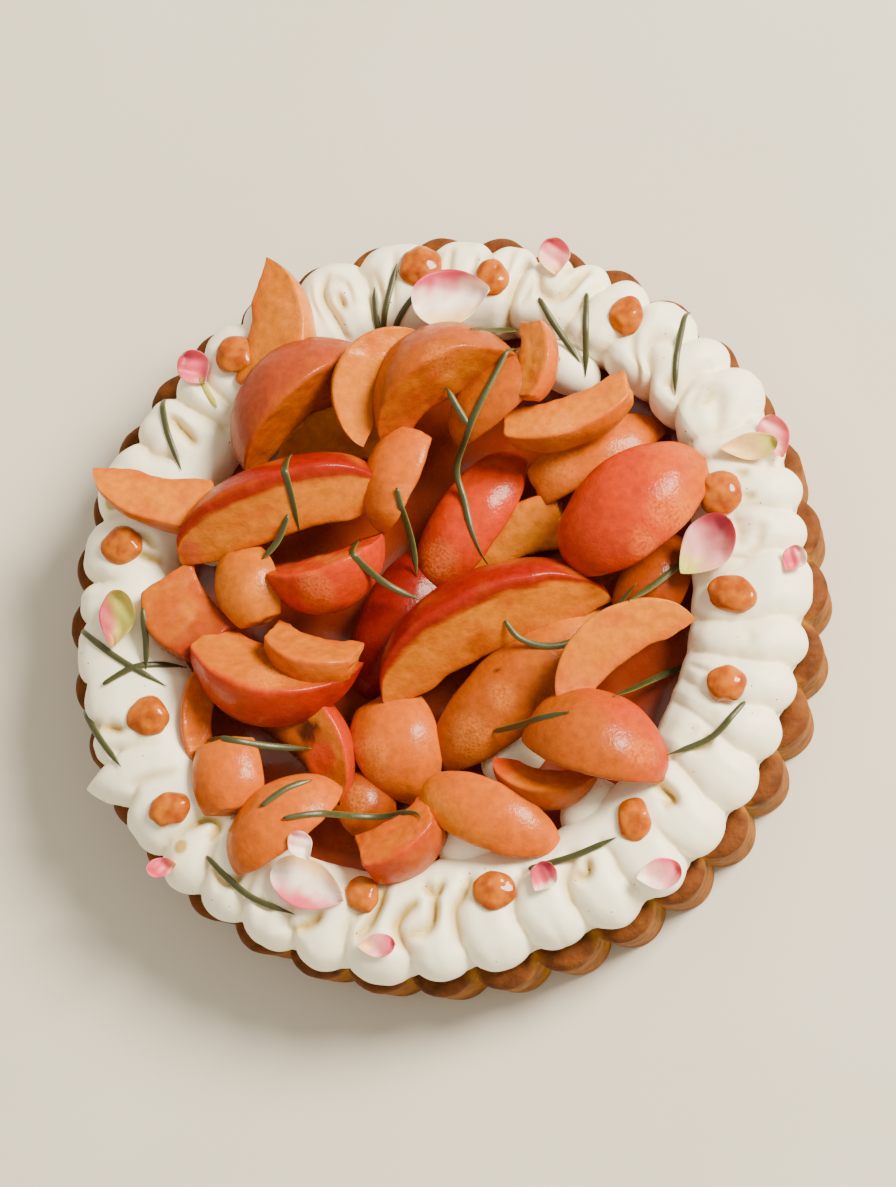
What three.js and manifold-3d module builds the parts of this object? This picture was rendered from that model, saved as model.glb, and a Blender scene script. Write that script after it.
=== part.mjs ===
// A fruit tart: a fluted pastry case, a dark set filling, a piped cream border, a pile of stone-fruit
// wedges, and fruit-gel dots, petals and rosemary on top. Millimetres, +Z up.
// The origin is the middle of the underside of the pastry.
import * as THREE from "three";
import { mergeVertices } from "three/addons/utils/BufferGeometryUtils.js";
import Module from "manifold-3d";

const wasm = await Module();
wasm.setup();

// Driving dimensions: the tart ring
const CREST_RADIUS = 115;
const CASE_HEIGHT = 28;
const FLUTES = 36;
const FLUTE_DEPTH = 5.8;
const FIRST_CREST = 0.2;
const BASE_DRAFT = 2.2;
const WALL_INSIDE = 105;
const BASE_THICKNESS = 5;
const FILLING_TOP = 23;

// Driving dimensions: the piped cream
const CREAM_TOP = 45;
const CREAM_CROWN = 93.5;
const CREAM_UNEVEN = 1.1;
const CREAM_SEED = 11;

// What touches keeps this gap. Fruit lies this far clear of cream and filling. It sinks this far into
// lower fruit, but its upper side stays in sight over all but a small share of its outline.
const GAP = 0.3;
const BED_CLEARANCE = 0.6;
const NESTLE = 8;
const SHOW = 1;
const CLEAR_SHARE = 0.88;

// Cuts and joins leave no edge shorter, and no face flatter, than this.
const SLIVER = 0.05;

// Colours
const PASTRY = { color: 0xb07a4b, roughness: 0.8 };
const FILLING = { color: 0x5a2814, roughness: 0.3 };
const CREAM = { color: 0xf0e8d8, roughness: 0.55 };
const FLESH = { color: 0xe08a35, roughness: 0.35 };
const GEL = { color: 0xe68a24, roughness: 0.15 };
const PETAL = { color: 0xe9a3a8, roughness: 0.6 };

const radians = THREE.MathUtils.degToRad;
const point = (x, y, z) => new THREE.Vector3(x, y, z);
const polar = (radius, degrees, z) =>
  point(radius * Math.cos(radians(degrees)), radius * Math.sin(radians(degrees)), z);

// A seeded draw between -1 and 1.
function draws(seed) {
  let state = seed;
  return () => {
    state = (state * 1664525 + 1013904223) % 4294967296;
    return (state / 4294967296) * 2 - 1;
  };
}

// A skin is the points and triangles of one closed surface, with its triangles facing out.
function outward(points, index) {
  let volume = 0;
  for (let i = 0; i < index.length; i += 3) {
    const [a, b, c] = [0, 1, 2].map((k) => points[index[i + k]]);
    volume += a.dot(b.clone().cross(c));
  }
  return { points, index: volume < 0 ? index.toReversed() : index };
}

// The skin over a row of rings of points; a ring of one point is a tip, and an open end is capped.
function loft(rings, closed = false) {
  const points = [];
  const index = [];
  const starts = rings.map((ring) => points.push(...ring) - ring.length);
  const bands = closed ? rings.length : rings.length - 1;
  for (let i = 0; i < bands; i++) {
    const j = (i + 1) % rings.length;
    const sides = Math.max(rings[i].length, rings[j].length);
    for (let k = 0; k < sides; k++) {
      const near = [k, k + 1].map((n) => starts[i] + (n % rings[i].length));
      const far = [k, k + 1].map((n) => starts[j] + (n % rings[j].length));
      if (near[0] !== near[1]) index.push(near[0], near[1], far[1]);
      if (far[0] !== far[1]) index.push(near[0], far[1], far[0]);
    }
  }
  const cap = (ring, start, turn) => {
    if (closed || ring.length === 1) return;
    const centre = ring.reduce((sum, p) => sum.add(p), point(0, 0, 0)).divideScalar(ring.length);
    const middle = points.push(centre) - 1;
    ring.forEach((_, k) => {
      const pair = [start + k, start + ((k + 1) % ring.length)];
      index.push(middle, ...(turn ? pair.reverse() : pair));
    });
  };
  cap(rings[0], starts[0], true);
  cap(rings.at(-1), starts.at(-1), false);
  return outward(points, index);
}

// The skin of a closed three.js geometry.
function skinOf(geometry) {
  geometry.deleteAttribute("normal");
  geometry.deleteAttribute("uv");
  const merged = mergeVertices(geometry, 1e-4);
  const position = merged.getAttribute("position");
  const points = Array.from({ length: position.count }, (_, i) =>
    point(0, 0, 0).fromBufferAttribute(position, i),
  );
  const index = [];
  for (let i = 0; i < merged.index.count; i += 3) {
    const corners = [0, 1, 2].map((k) => merged.index.getX(i + k));
    if (new Set(corners).size === 3) index.push(...corners);
  }
  return outward(points, index);
}

const moved = (skin, change) => ({ points: skin.points.map((p) => change(p.clone())), index: skin.index });

function* triangles(skin) {
  for (let i = 0; i < skin.index.length; i += 3) yield skin.index.slice(i, i + 3);
}

// The same skin with every face moved out by the gap.
function swell(skin, gap) {
  const ease = 0.03;
  const sums = skin.points.map(() => new THREE.Matrix3().set(ease, 0, 0, 0, ease, 0, 0, 0, ease));
  const pulls = skin.points.map(() => point(0, 0, 0));
  for (const corners of triangles(skin)) {
    const normal = new THREE.Triangle(...corners.map((c) => skin.points[c])).getNormal(point(0, 0, 0));
    const along = normal.toArray();
    for (const corner of corners) {
      sums[corner].elements.forEach((_, n) => {
        sums[corner].elements[n] += along[n % 3] * along[Math.floor(n / 3)];
      });
      pulls[corner].addScaledVector(normal, gap);
    }
  }
  const points = skin.points.map((p, i) => {
    const step = pulls[i].applyMatrix3(sums[i].invert()).clampLength(0, 3 * gap);
    return p.clone().add(step);
  });
  return { points, index: skin.index };
}

function solidOf(skin) {
  const vertProperties = new Float32Array(skin.points.flatMap((p) => p.toArray()));
  const triVerts = new Uint32Array(skin.index);
  return new wasm.Manifold(new wasm.Mesh({ numProp: 3, vertProperties, triVerts, tolerance: SLIVER }));
}

// The corners and faces of a cut solid, without its slivers: a short edge closes up, and a flat face
// gives its longest edge over to the corner that lies on it.
function tidied(solid) {
  const mesh = solid.getMesh();
  const points = Array.from({ length: mesh.numVert }, (_, i) =>
    point(...mesh.vertProperties.slice(3 * i, 3 * i + 3)),
  );
  const faces = Array.from({ length: mesh.numTri }, (_, i) => [...mesh.triVerts.slice(3 * i, 3 * i + 3)]);
  const around = points.map(() => new Set());
  const place = (i, face) => {
    faces[i].forEach((corner) => around[corner].delete(i));
    faces[i] = face;
    face.forEach((corner) => around[corner].add(i));
  };
  const beside = (corner) => new Set([...around[corner]].flatMap((i) => faces[i]));
  const sharing = (a, b) => [...around[a]].filter((i) => around[b].has(i));
  const close = (kept, lost) => {
    const common = [...beside(kept)].filter((corner) => beside(lost).has(corner));
    if (common.length !== 4) return false;
    sharing(kept, lost).forEach((i) => place(i, []));
    [...around[lost]].forEach((i) => place(i, faces[i].map((corner) => (corner === lost ? kept : corner))));
    return true;
  };
  const turnOver = (i, [start, end, apex]) => {
    const other = sharing(start, end).find((j) => j !== i);
    const far = faces[other].find((corner) => corner !== start && corner !== end);
    if (beside(apex).has(far)) return false;
    place(i, [start, far, apex]);
    place(other, [far, end, apex]);
    return true;
  };
  const mend = (i) => {
    const edges = faces[i].map((start, k) => {
      const [end, apex] = [faces[i][(k + 1) % 3], faces[i][(k + 2) % 3]];
      return { corners: [start, end, apex], length: points[start].distanceTo(points[end]) };
    });
    edges.sort((a, b) => a.length - b.length);
    if (edges[0].length < SLIVER) return close(...edges[0].corners);
    const area = new THREE.Triangle(...faces[i].map((corner) => points[corner])).getArea();
    return (2 * area) / edges[2].length < SLIVER / 5 && turnOver(i, edges[2].corners);
  };
  faces.forEach((face, i) => face.forEach((corner) => around[corner].add(i)));
  for (let pass = 0; pass < 30; pass++) {
    const mended = faces.filter((face, i) => face.length && mend(i));
    if (!mended.length) break;
  }
  return { points, index: faces.flat() };
}

// The ground is the height of all that lies so far, in square cells; new pieces are set down on it.
const CELL = 1.5;
const REACH = 132;
const CELLS = Math.round((2 * REACH) / CELL);
const ground = new Float32Array(CELLS * CELLS);
const cellOf = (x, y) => Math.floor((y + REACH) / CELL) * CELLS + Math.floor((x + REACH) / CELL);

// The lowest and highest point of a skin in each cell that it covers.
function columns(skin) {
  const found = new Map();
  for (const corners of triangles(skin)) {
    const [a, b, c] = corners.map((k) => skin.points[k]);
    const area = (b.x - a.x) * (c.y - a.y) - (c.x - a.x) * (b.y - a.y);
    if (Math.abs(area) < 1e-6) continue;
    const lowest = (axis) => Math.floor((Math.min(a[axis], b[axis], c[axis]) + REACH) / CELL);
    const highest = (axis) => Math.floor((Math.max(a[axis], b[axis], c[axis]) + REACH) / CELL);
    for (let row = lowest("y"); row <= highest("y"); row++) {
      for (let column = lowest("x"); column <= highest("x"); column++) {
        const x = (column + 0.5) * CELL - REACH;
        const y = (row + 0.5) * CELL - REACH;
        const u = ((x - a.x) * (c.y - a.y) - (c.x - a.x) * (y - a.y)) / area;
        const v = ((b.x - a.x) * (y - a.y) - (x - a.x) * (b.y - a.y)) / area;
        if (u < 0 || v < 0 || u + v > 1) continue;
        const z = a.z + u * (b.z - a.z) + v * (c.z - a.z);
        const cell = row * CELLS + column;
        const [low, high] = found.get(cell) ?? [Infinity, -Infinity];
        found.set(cell, [Math.min(low, z), Math.max(high, z)]);
      }
    }
  }
  return found;
}

function raiseGround(skin) {
  for (const [cell, [, high]] of columns(skin)) ground[cell] = Math.max(ground[cell], high);
}

const lifted = (skin, rise) => moved(skin, (p) => p.setZ(p.z + rise));
const byValue = (a, b) => a - b;

// How far a skin rises to lie on a ground with a share of its underside touching, pressed in no deeper.
function restingRise(skin, under, share, press) {
  const rooms = [...columns(skin)].map(([cell, [low]]) => low - under[cell]).sort(byValue);
  return -Math.min(rooms[Math.floor(share * rooms.length)], rooms[0] + press);
}

const settle = (skin, share, press) => lifted(skin, restingRise(skin, ground, share, press));

// Fruit lies on the bed of filling and cream, and sinks into lower fruit with its upper side in sight.
function nestle(skin, bed) {
  const covers = [...columns(skin)].map(([cell, [, high]]) => ground[cell] + SHOW - high).sort(byValue);
  const inSight = covers[Math.floor(CLEAR_SHARE * covers.length)];
  const onBed = restingRise(skin, bed, 0, 0) + BED_CLEARANCE;
  return lifted(skin, Math.max(inSight, onBed, restingRise(skin, ground, 0.4, NESTLE)));
}

// The pastry case: a fluted drum, a little narrower at its base, hollowed by a round wall.
function pastryCase() {
  const steps = 6;
  const outline = (inset, z) =>
    Array.from({ length: FLUTES * steps }, (_, i) => {
      const flute = i / steps;
      const degrees = FIRST_CREST + (flute * 360) / FLUTES;
      return polar(CREST_RADIUS - FLUTE_DEPTH * crease(flute) - inset, degrees, z);
    });
  const drum = loft([
    outline(BASE_DRAFT, 0),
    outline(0, CASE_HEIGHT),
  ]);
  const hollow = new THREE.LatheGeometry(
    [
      new THREE.Vector2(0, BASE_THICKNESS),
      new THREE.Vector2(WALL_INSIDE, BASE_THICKNESS),
      new THREE.Vector2(WALL_INSIDE, CASE_HEIGHT + 1),
      new THREE.Vector2(0, CASE_HEIGHT + 1),
    ],
    72,
  );
  return solidOf(drum).subtract(solidOf(skinOf(hollow.rotateX(Math.PI / 2))));
}

function filling() {
  const profile = [
    new THREE.Vector2(0, BASE_THICKNESS + GAP),
    new THREE.Vector2(WALL_INSIDE - 2 * GAP, BASE_THICKNESS + GAP),
    new THREE.Vector2(WALL_INSIDE - 2 * GAP, FILLING_TOP),
    new THREE.Vector2(0, FILLING_TOP),
  ];
  return skinOf(new THREE.LatheGeometry(profile, 36).rotateX(Math.PI / 2));
}

// How deep the crease is, from 0 on a lobe's crown to 1 between two lobes.
function crease(turns) {
  const offset = turns - Math.round(turns);
  return 1 - Math.sqrt(Math.max(0, 1 - 4 * offset * offset));
}

// The outer lobes of the cream: where each begins, in degrees, the radius of its crown and the radius of
// the ring's inner edge behind it.
const LOBES = [
  [-179, 109.5, 80],
  [-169, 110, 76],
  [-161.5, 110.8, 79],
  [-155, 113, 82],
  [-148.3, 112, 82],
  [-138.5, 113.5, 82],
  [-130, 112, 83],
  [-122, 112, 83],
  [-112.5, 112.7, 82],
  [-103.7, 113, 81],
  [-93, 111.5, 76],
  [-84, 110, 75],
  [-74, 109.3, 79],
  [-64.7, 111.7, 78],
  [-55.5, 112, 77],
  [-46.5, 111.3, 79],
  [-37.3, 111, 78],
  [-28.2, 111, 77],
  [-20.3, 110.7, 77],
  [-13, 111.5, 77],
  [-5.5, 111.5, 77],
  [5, 111.5, 77],
  [11.5, 113.2, 80],
  [19, 113, 84],
  [27.5, 115.6, 86],
  [36.7, 113.4, 85],
  [43.8, 113, 85],
  [53, 112, 85],
  [60, 111, 85],
  [66.5, 110, 85],
  [72.5, 109.8, 83],
  [80, 110, 81],
  [89.7, 111, 81],
  [102.3, 110.5, 81],
  [113, 110, 81],
  [123.5, 109.5, 80],
  [132.5, 107, 79],
  [140, 108, 78],
  [149.5, 111, 80],
  [163.5, 109.3, 81],
  [174, 108.3, 81],
];

// The cream border: one strand piped in and out round the case. Outer lobes show at its rim, inner lobes
// half a lobe further on, and twice as many strands run between them over its top.
function creamRing() {
  const steps = 4;
  const draw = draws(CREAM_SEED);
  const rises = LOBES.map(() => draw() * CREAM_UNEVEN);
  const seat = CASE_HEIGHT + GAP;
  const foot = FILLING_TOP + GAP;
  const wall = WALL_INSIDE - 2 * GAP;
  // Each row: radius, height, the way that it moves up at a crown, and how deep the three sets of creases
  // cut it: outwards in the first rows, inwards in the last.
  const section = (outside, inside, slope = 0.45 * CREAM_CROWN + 0.55 * inside) => [
    { r: wall, z: seat, up: 0, turn: 0, creases: [0, 0, 0] },
    { r: outside - 1, z: seat, up: 0, turn: 1, creases: [4.2, 0, 0] },
    { r: outside, z: 35, up: 0, turn: 1, creases: [5, 0, 0] },
    { r: outside - 2, z: 39.5, up: 0.5, turn: 0.85, creases: [5, 0, 0] },
    { r: outside - 8.5, z: CREAM_TOP - 0.8, up: 1, turn: 0.3, creases: [3.6, 1.6, 0] },
    { r: CREAM_CROWN, z: CREAM_TOP, up: 1, turn: 0, creases: [0, 4, 0] },
    { r: slope, z: CREAM_TOP - 3.5, up: 1, turn: -0.3, creases: [0, 2.4, 1.6] },
    { r: inside, z: 33, up: 0.3, turn: -1, creases: [0, 0, 2.6] },
    { r: inside + 0.5, z: foot, up: 0, turn: -1, creases: [0, 0, 1.6] },
    { r: wall, z: foot, up: 0, turn: 0, creases: [0, 0, 0] },
  ];
  const rings = LOBES.flatMap(([start, outside, inside], k) => {
    const previous = LOBES.at(k - 1);
    const next = LOBES[(k + 1) % LOBES.length];
    const width = (next[0] - start + 360) % 360;
    return Array.from({ length: steps }, (_, i) => {
      const turns = i / steps + 0.5;
      const depths = [crease(turns), crease(2 * turns + 0.5), crease(turns + 0.5)];
      // Where two lobes meet, the ring is as wide as the mean of both.
      const edge = (before, own) => (i === 0 ? (before + own) / 2 : own);
      const rows = section(edge(previous[1], outside), edge(previous[2], inside));
      return rows.map(({ r, z, up, turn, creases }) => {
        const dent = creases.reduce((sum, deep, n) => sum + deep * depths[n], 0);
        return polar(r - turn * dent, start + (i * width) / steps, z + up * (rises[k] - dent));
      });
    });
  });
  return loft(rings, true);
}

// Soft folds of cream that lie inside the ring, and the pointed tail where the piping stopped.
const CREAM_LUMPS = [
  { at: [11, -71, 34], size: [17, 20, 18], heading: 20 },
  { at: [22, -44, 25], size: [22, 16, 16], heading: 35 },
  { at: [40, 69, 35], size: [15, 22, 18], heading: 60 },
  { at: [46, -63, 33], size: [16, 20, 17], heading: -40 },
  { at: [-66, 22, 34], size: [18, 14, 16], heading: 10 },
];

function lump({ at, size, heading }) {
  const ball = new THREE.SphereGeometry(0.5, 9, 6).rotateX(Math.PI / 2).scale(...size);
  return skinOf(ball.rotateZ(radians(heading)).translate(...at));
}

function creamTail() {
  const rings = [
    { r: 96, z: 38, wide: 9, high: 7 },
    { r: 109, z: 35.5, wide: 6.5, high: 5 },
    { r: 115, z: 35, wide: 3, high: 2.4 },
  ].map(({ r, z, wide, high }) =>
    Array.from({ length: 8 }, (_, k) => {
      const turn = (k * Math.PI) / 4;
      return polar(r, 205, z + high * Math.sin(turn)).add(polar(wide * Math.cos(turn), 295, 0));
    }),
  );
  return loft([...rings, [polar(118.5, 205, 35.5)]]);
}

// A wedge of a pitted stone fruit. Its long axis runs along X, and each section is the part of a disc
// between two cuts, less the pit. At roll 0 the peel faces +Y, and at roll 90 it faces up.
// A belly moves the middle of the wedge away from the side that its peel faces.
function wedge({ roll, pitch, size: [length, radius, angle], span: [from, to], belly = 0 }) {
  const steps = 6;
  const start = Math.asin(from);
  const rings = Array.from({ length: steps + 1 }, (_, i) => {
    const t = Math.sin(start + ((Math.asin(to) - start) * i) / steps);
    const x = (t * length) / 2;
    if (Math.abs(t) > 0.999) return [point(x, 0, 0)];
    const peel = radius * Math.sqrt(1 - t * t);
    const pit = peel * 0.05 + radius * 0.13 * Math.sqrt(Math.max(0, 1 - (t / 0.55) ** 2));
    const sag = belly * (1 - t * t) * Math.sign(Math.cos(radians(roll)));
    const at = (reach, turn) => {
      const face = radians(roll + (angle / 2) * turn);
      return point(x, reach * Math.cos(face) - sag, reach * Math.sin(face));
    };
    return [at(pit, 1), at(pit, -1), ...[-1, -0.5, 0, 0.5, 1].map((turn) => at(peel, turn))];
  });
  const tilt = new THREE.Matrix4().makeRotationY(-radians(pitch));
  return moved(loft(rings), (p) => p.applyMatrix4(tilt));
}

// Sets a shape down in plan: the middle of its outline goes to a place, and X turns to a heading.
function placed(skin, [x, y], heading) {
  const box = new THREE.Box3().setFromPoints(skin.points);
  const middle = box.getCenter(point(0, 0, 0));
  const turn = new THREE.Matrix4().makeRotationZ(radians(heading));
  return moved(skin, (p) => p.sub(middle).applyMatrix4(turn).add(point(x, y, 0)));
}

// The fruit, from the bottom of the pile to its top. Sizes are the length from tip to tip, the distance
// from the core to the peel, and the angle between the cuts; the span is the part of the length left.
const WHOLE = [-1, 1];
const FRUIT = [
  { at: [66, 2], heading: 60, roll: 100, pitch: 0, size: [34, 14, 95], span: WHOLE },
  { at: [-22, -57], heading: -60, roll: 70, pitch: 0, size: [26, 14, 90], span: WHOLE },
  { at: [-31, 54], heading: 5, roll: 20, pitch: 0, size: [42, 20, 45], span: WHOLE },
  { at: [-12, -3], heading: 62, roll: 90, pitch: 0, size: [50, 15, 100], span: WHOLE },
  { at: [-43.5, 81.5], heading: 66, roll: 180, pitch: 8, size: [70, 27, 33], span: [-0.1, 1] },
  { at: [-82, 32], heading: 178, roll: 0, pitch: 8, size: [66, 20, 36], span: [-0.12, 1] },
  { at: [-73, -2], heading: -54, roll: 180, pitch: 0, size: [42, 25, 34], span: [-0.6, 0.6] },
  { at: [-70, -31], heading: -98, roll: 165, pitch: 0, size: [36, 12, 50], span: [-0.8, 1] },
  { at: [23, 59], heading: 39, roll: 75, pitch: 0, size: [40, 14, 90], span: WHOLE },
  { at: [23, 21], heading: 185, roll: 178, pitch: 0, size: [56, 20, 40], span: [-0.05, 1] },
  { at: [11, 24.5], heading: 55, roll: 92, pitch: 0, size: [50, 15, 95], span: WHOLE },
  { at: [-43, -33], heading: -37, roll: 5, pitch: 0, size: [56, 24, 40], span: WHOLE },
  { at: [-43, -65], heading: 36, roll: 75, pitch: 0, size: [40, 15, 100], span: WHOLE },
  { at: [18, -65], heading: -25, roll: 90, pitch: 0, size: [45, 14, 95], span: WHOLE },
  { at: [-41.5, 63.5], heading: 41, roll: 60, pitch: 0, size: [52, 25, 50], span: WHOLE },
  { at: [-15.5, 64.5], heading: 61, roll: 10, pitch: 0, size: [38, 19, 40], span: WHOLE },
  { at: [26, -26], heading: 40, roll: 95, pitch: 0, size: [68, 17, 100], span: WHOLE },
  { at: [34, -57], heading: -10, roll: 160, pitch: 0, size: [31, 14, 50], span: WHOLE },
  { at: [49, 42.5], heading: 27, roll: 88, pitch: 0, size: [50, 19, 56], span: [-0.7, 1] },
  { at: [-7, -72], heading: 27, roll: 165, pitch: 0, size: [40, 21, 50], span: [-0.5, 0.7] },
  { at: [-44, 30], heading: 15, roll: 28, pitch: 0, size: [67, 27, 44], span: WHOLE, belly: 6 },
  { at: [-53, 5], heading: -73, roll: 90, pitch: 0, size: [30, 13, 100], span: [-0.75, 0.75] },
  { at: [-47, -23], heading: -19, roll: 155, pitch: 0, size: [54, 28, 44], span: [-0.8, 1] },
  { at: [-59, -51], heading: -82, roll: 90, pitch: 0, size: [34, 14, 110], span: [-0.62, 0.62] },
  { at: [-34, -18], heading: -17, roll: 150, pitch: 0, size: [34, 19, 44], span: [-0.8, 0.8] },
  { at: [-29, 6], heading: 14, roll: 150, pitch: 0, size: [38, 20, 60], span: WHOLE },
  { at: [-9, 35], heading: 67, roll: 75, pitch: 0, size: [37, 13, 95], span: [-1, 0.7] },
  { at: [4, 66], heading: 27, roll: 45, pitch: 0, size: [48, 26, 50], span: WHOLE },
  { at: [51, -44], heading: -20, roll: 70, pitch: 0, size: [44, 20, 90], span: WHOLE },
  { at: [56, -18], heading: 35, roll: 5, pitch: 0, size: [47, 19, 36], span: WHOLE },
  { at: [62, 22], heading: 36, roll: 93, pitch: 0, size: [51, 20, 105], span: WHOLE },
  { at: [44, 50], heading: 15, roll: 170, pitch: 0, size: [49, 18, 40], span: [-0.75, 0.8] },
  { at: [35, 66], heading: 80, roll: 172, pitch: 0, size: [31, 14, 44], span: [-0.7, 0.8] },
  { at: [-11, -42], heading: -70, roll: 90, pitch: 0, size: [37, 18, 100], span: [-0.8, 1] },
  { at: [15, -5.5], heading: 23, roll: 33, pitch: 0, size: [74, 29, 44], span: WHOLE, belly: 3 },
];

// Dots of fruit gel: place, then width, depth and height.
const GEL_DOTS = [
  { at: [-2, 100], size: [12.5, 13, 7], heading: 0 },
  { at: [20, 95], size: [10.5, 12, 6], heading: 0 },
  { at: [60, 81], size: [10.5, 12, 6], heading: 0 },
  { at: [-58, 76], size: [12, 12, 7], heading: 0 },
  { at: [87, 26], size: [13, 14, 7], heading: 0 },
  { at: [90, -4], size: [15, 11, 6], heading: -20 },
  { at: [88, -30], size: [12, 11, 7], heading: 0 },
  { at: [61, -68], size: [10, 13, 6], heading: 0 },
  { at: [20, -87], size: [13, 11.5, 6], heading: 0 },
  { at: [-19, -87], size: [10.5, 11, 6], heading: 0 },
  { at: [-77, -60], size: [13, 10, 6], heading: 15 },
  { at: [-84, -32], size: [13, 12, 6], heading: 0 },
  { at: [-93, 20], size: [12.5, 12, 7], heading: 0 },
];

function gelDot({ at, size, heading }) {
  const ball = new THREE.SphereGeometry(0.5, 8, 4).rotateX(Math.PI / 2).scale(...size);
  return placed(skinOf(ball), at, heading);
}

// Petals: length, width, how deep they are cupped and how steeply they lie along their length.
const PETALS = [
  { name: "petal_large", at: [10, 87], heading: 190, size: [23, 18], cup: 5, pitch: 8 },
  { name: "petal_back", at: [39, 100], heading: 95, size: [11, 9.5], cup: 3, pitch: 10 },
  { name: "petal_bud", at: [-71, 73], heading: 125, size: [11, 10], cup: 4, pitch: 10 },
  { name: "petal_right", at: [103, 42], heading: 110, size: [13, 9], cup: 3, pitch: 10 },
  { name: "petal_inner", at: [83, 10], heading: 45, size: [21, 15], cup: 5, pitch: 10 },
  { name: "petal_left", at: [-93, -3], heading: 80, size: [17, 11], cup: 4, pitch: 12 },
  { name: "petal_front", at: [-34, -84], heading: 155, size: [23, 15], cup: 3, pitch: 4 },
  { name: "petal_small", at: [35, -84], heading: 60, size: [9, 8], cup: 3, pitch: 6 },
  { name: "petal_rim", at: [68, -84], heading: 10, size: [13, 9], cup: 3, pitch: -8 },
];
const SMALL_PETALS = [
  { at: [96, 39], heading: 0, size: [17, 8], cup: 3, pitch: 4 },
  { at: [108, 5.5], heading: 57, size: [8, 7], cup: 2, pitch: 0 },
  { at: [-79, -77], heading: 190, size: [9, 6], cup: 2, pitch: 0 },
  { at: [-34, -74], heading: 120, size: [9, 7], cup: 2, pitch: 10 },
  { at: [-14, -102], heading: 0, size: [11, 7], cup: 2, pitch: 0 },
];

// A petal is a thin wavy sheet: wide near its tip, narrow at its base, cupped along its length.
function petal({ size: [length, width], cup, pitch }, thickness) {
  const spread = [0, 0.6, 0.95, 1, 0.75, 0];
  const at = (i, across, lift) => {
    const along = i / (spread.length - 1) - 0.5;
    const wave = 0.5 * Math.sin(7 * along + 2 * across);
    const z = cup * (across * across * 0.6 + along * along * 1.6) + wave + lift;
    return point(along * length, (across * width * spread[i]) / 2, z);
  };
  const row = (i, lift) => [-1, 0, 1].map((across) => at(i, across, lift));
  const rings = spread.map((wide, i) =>
    wide === 0 ? [at(i, 0, -thickness / 2)] : [...row(i, 0), ...row(i, -thickness).reverse()],
  );
  const tilt = new THREE.Matrix4().makeRotationY(-radians(pitch));
  return moved(loft(rings), (p) => p.applyMatrix4(tilt));
}

// Rosemary needles, from end to end in plan. The first list lies on cream, and each of the second
// on the piece of fruit that its number gives.
const NEEDLE_WIDTH = 2.3;
const CREAM_NEEDLES = [
  [-14, 81, -9, 102],
  [-13, 84, -16, 95],
  [-12, 82, -2, 93],
  [34, 87, 44, 76],
  [48, 89, 46, 74],
  [77, 84, 73, 57],
  [-84, 68, -75, 43],
  [-66, -73, -42, -90],
  [-107, -28, -93, -46],
  [-107, -4, -82, -21],
  [-84, -1, -85, -18],
  [-98, -22, -80, -17],
  [91, -35, 75, -47],
  [32, -80, 54, -73],
];
const FRUIT_NEEDLES = [
  { on: 28, line: [18, 58, 8, 61] },
  { on: 11, line: [11, 34, 15, 20] },
  { on: 21, line: [-41, 44, -40, 24] },
  { on: 26, line: [-31, 8, -19, 8] },
  { on: 27, line: [-8, 36, -7, 24] },
  { on: 35, line: [30, -13, 46, -10] },
  { on: 30, line: [71, -16, 58, -25] },
  { on: 17, line: [17, -37, 32, -36] },
  { on: 13, line: [-44, -62, -32, -60] },
  { on: 12, line: [-50, -37, -36, -39] },
];

// A needle lies level along its line, pressed a little into the highest ground under it.
function needle([x1, y1, x2, y2], press) {
  const stations = [0, 0.2, 0.75, 1];
  const girths = [0, 1, 0.9, 0];
  const heightAt = (t) => ground[cellOf(x1 + (x2 - x1) * t, y1 + (y2 - y1) * t)];
  const ends = [heightAt(0.15), heightAt(0.85)];
  const line = (t) => ends[0] + ((ends[1] - ends[0]) * (t - 0.15)) / 0.7;
  const lift = Math.max(...[0.15, 0.35, 0.5, 0.65, 0.85].map((t) => heightAt(t) - line(t)));
  const heading = Math.atan2(y2 - y1, x2 - x1);
  const rings = stations.map((t, i) => {
    const middle = point(x1 + (x2 - x1) * t, y1 + (y2 - y1) * t, line(t) + lift - press + NEEDLE_WIDTH / 2);
    if (girths[i] === 0) return [middle];
    return Array.from({ length: 4 }, (_, k) => {
      const turn = (Math.PI * k) / 2;
      const across = (girths[i] * NEEDLE_WIDTH * Math.cos(turn)) / 2;
      const up = (girths[i] * NEEDLE_WIDTH * Math.sin(turn)) / 2;
      return middle.clone().add(point(-Math.sin(heading) * across, Math.cos(heading) * across, up));
    });
  });
  return loft(rings);
}

// The pile is built from the bottom up: each piece is set down on the ground and raises it.
const items = [];
const numbered = (word, i) => `${word}_${String(i + 1).padStart(2, "0")}`;

const fillingSkin = filling();
items.push({ name: "filling", skins: [fillingSkin], look: FILLING });
raiseGround(fillingSkin);

const creamSkins = [creamRing(), creamTail(), ...CREAM_LUMPS.map(lump)];
const cream = { name: "cream_border", skins: creamSkins, look: CREAM };
items.push(cream);
cream.skins.forEach(raiseGround);

const bed = ground.slice();
const fruit = FRUIT.map((row, i) => {
  const skin = nestle(placed(wedge(row), row.at, row.heading), bed);
  raiseGround(skin);
  return { name: numbered("fruit", i), skins: [skin], look: FLESH };
});
items.push(...fruit);

cream.skins.push(...CREAM_NEEDLES.map((line) => needle(line, 1)));
FRUIT_NEEDLES.forEach(({ on, line }) => fruit[on - 1].skins.push(needle(line, 1)));

GEL_DOTS.forEach((row, i) => {
  const skin = settle(gelDot(row), 0.6, 0.4 * row.size[2]);
  items.push({ name: numbered("gel", i), skins: [skin], look: GEL });
});
const laid = (row) => settle(placed(petal(row, 1.2), row.at, row.heading), 0.2, 0.8);
cream.skins.push(...SMALL_PETALS.map(laid));
PETALS.forEach((row) => items.push({ name: row.name, skins: [laid(row)], look: PETAL }));

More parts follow.
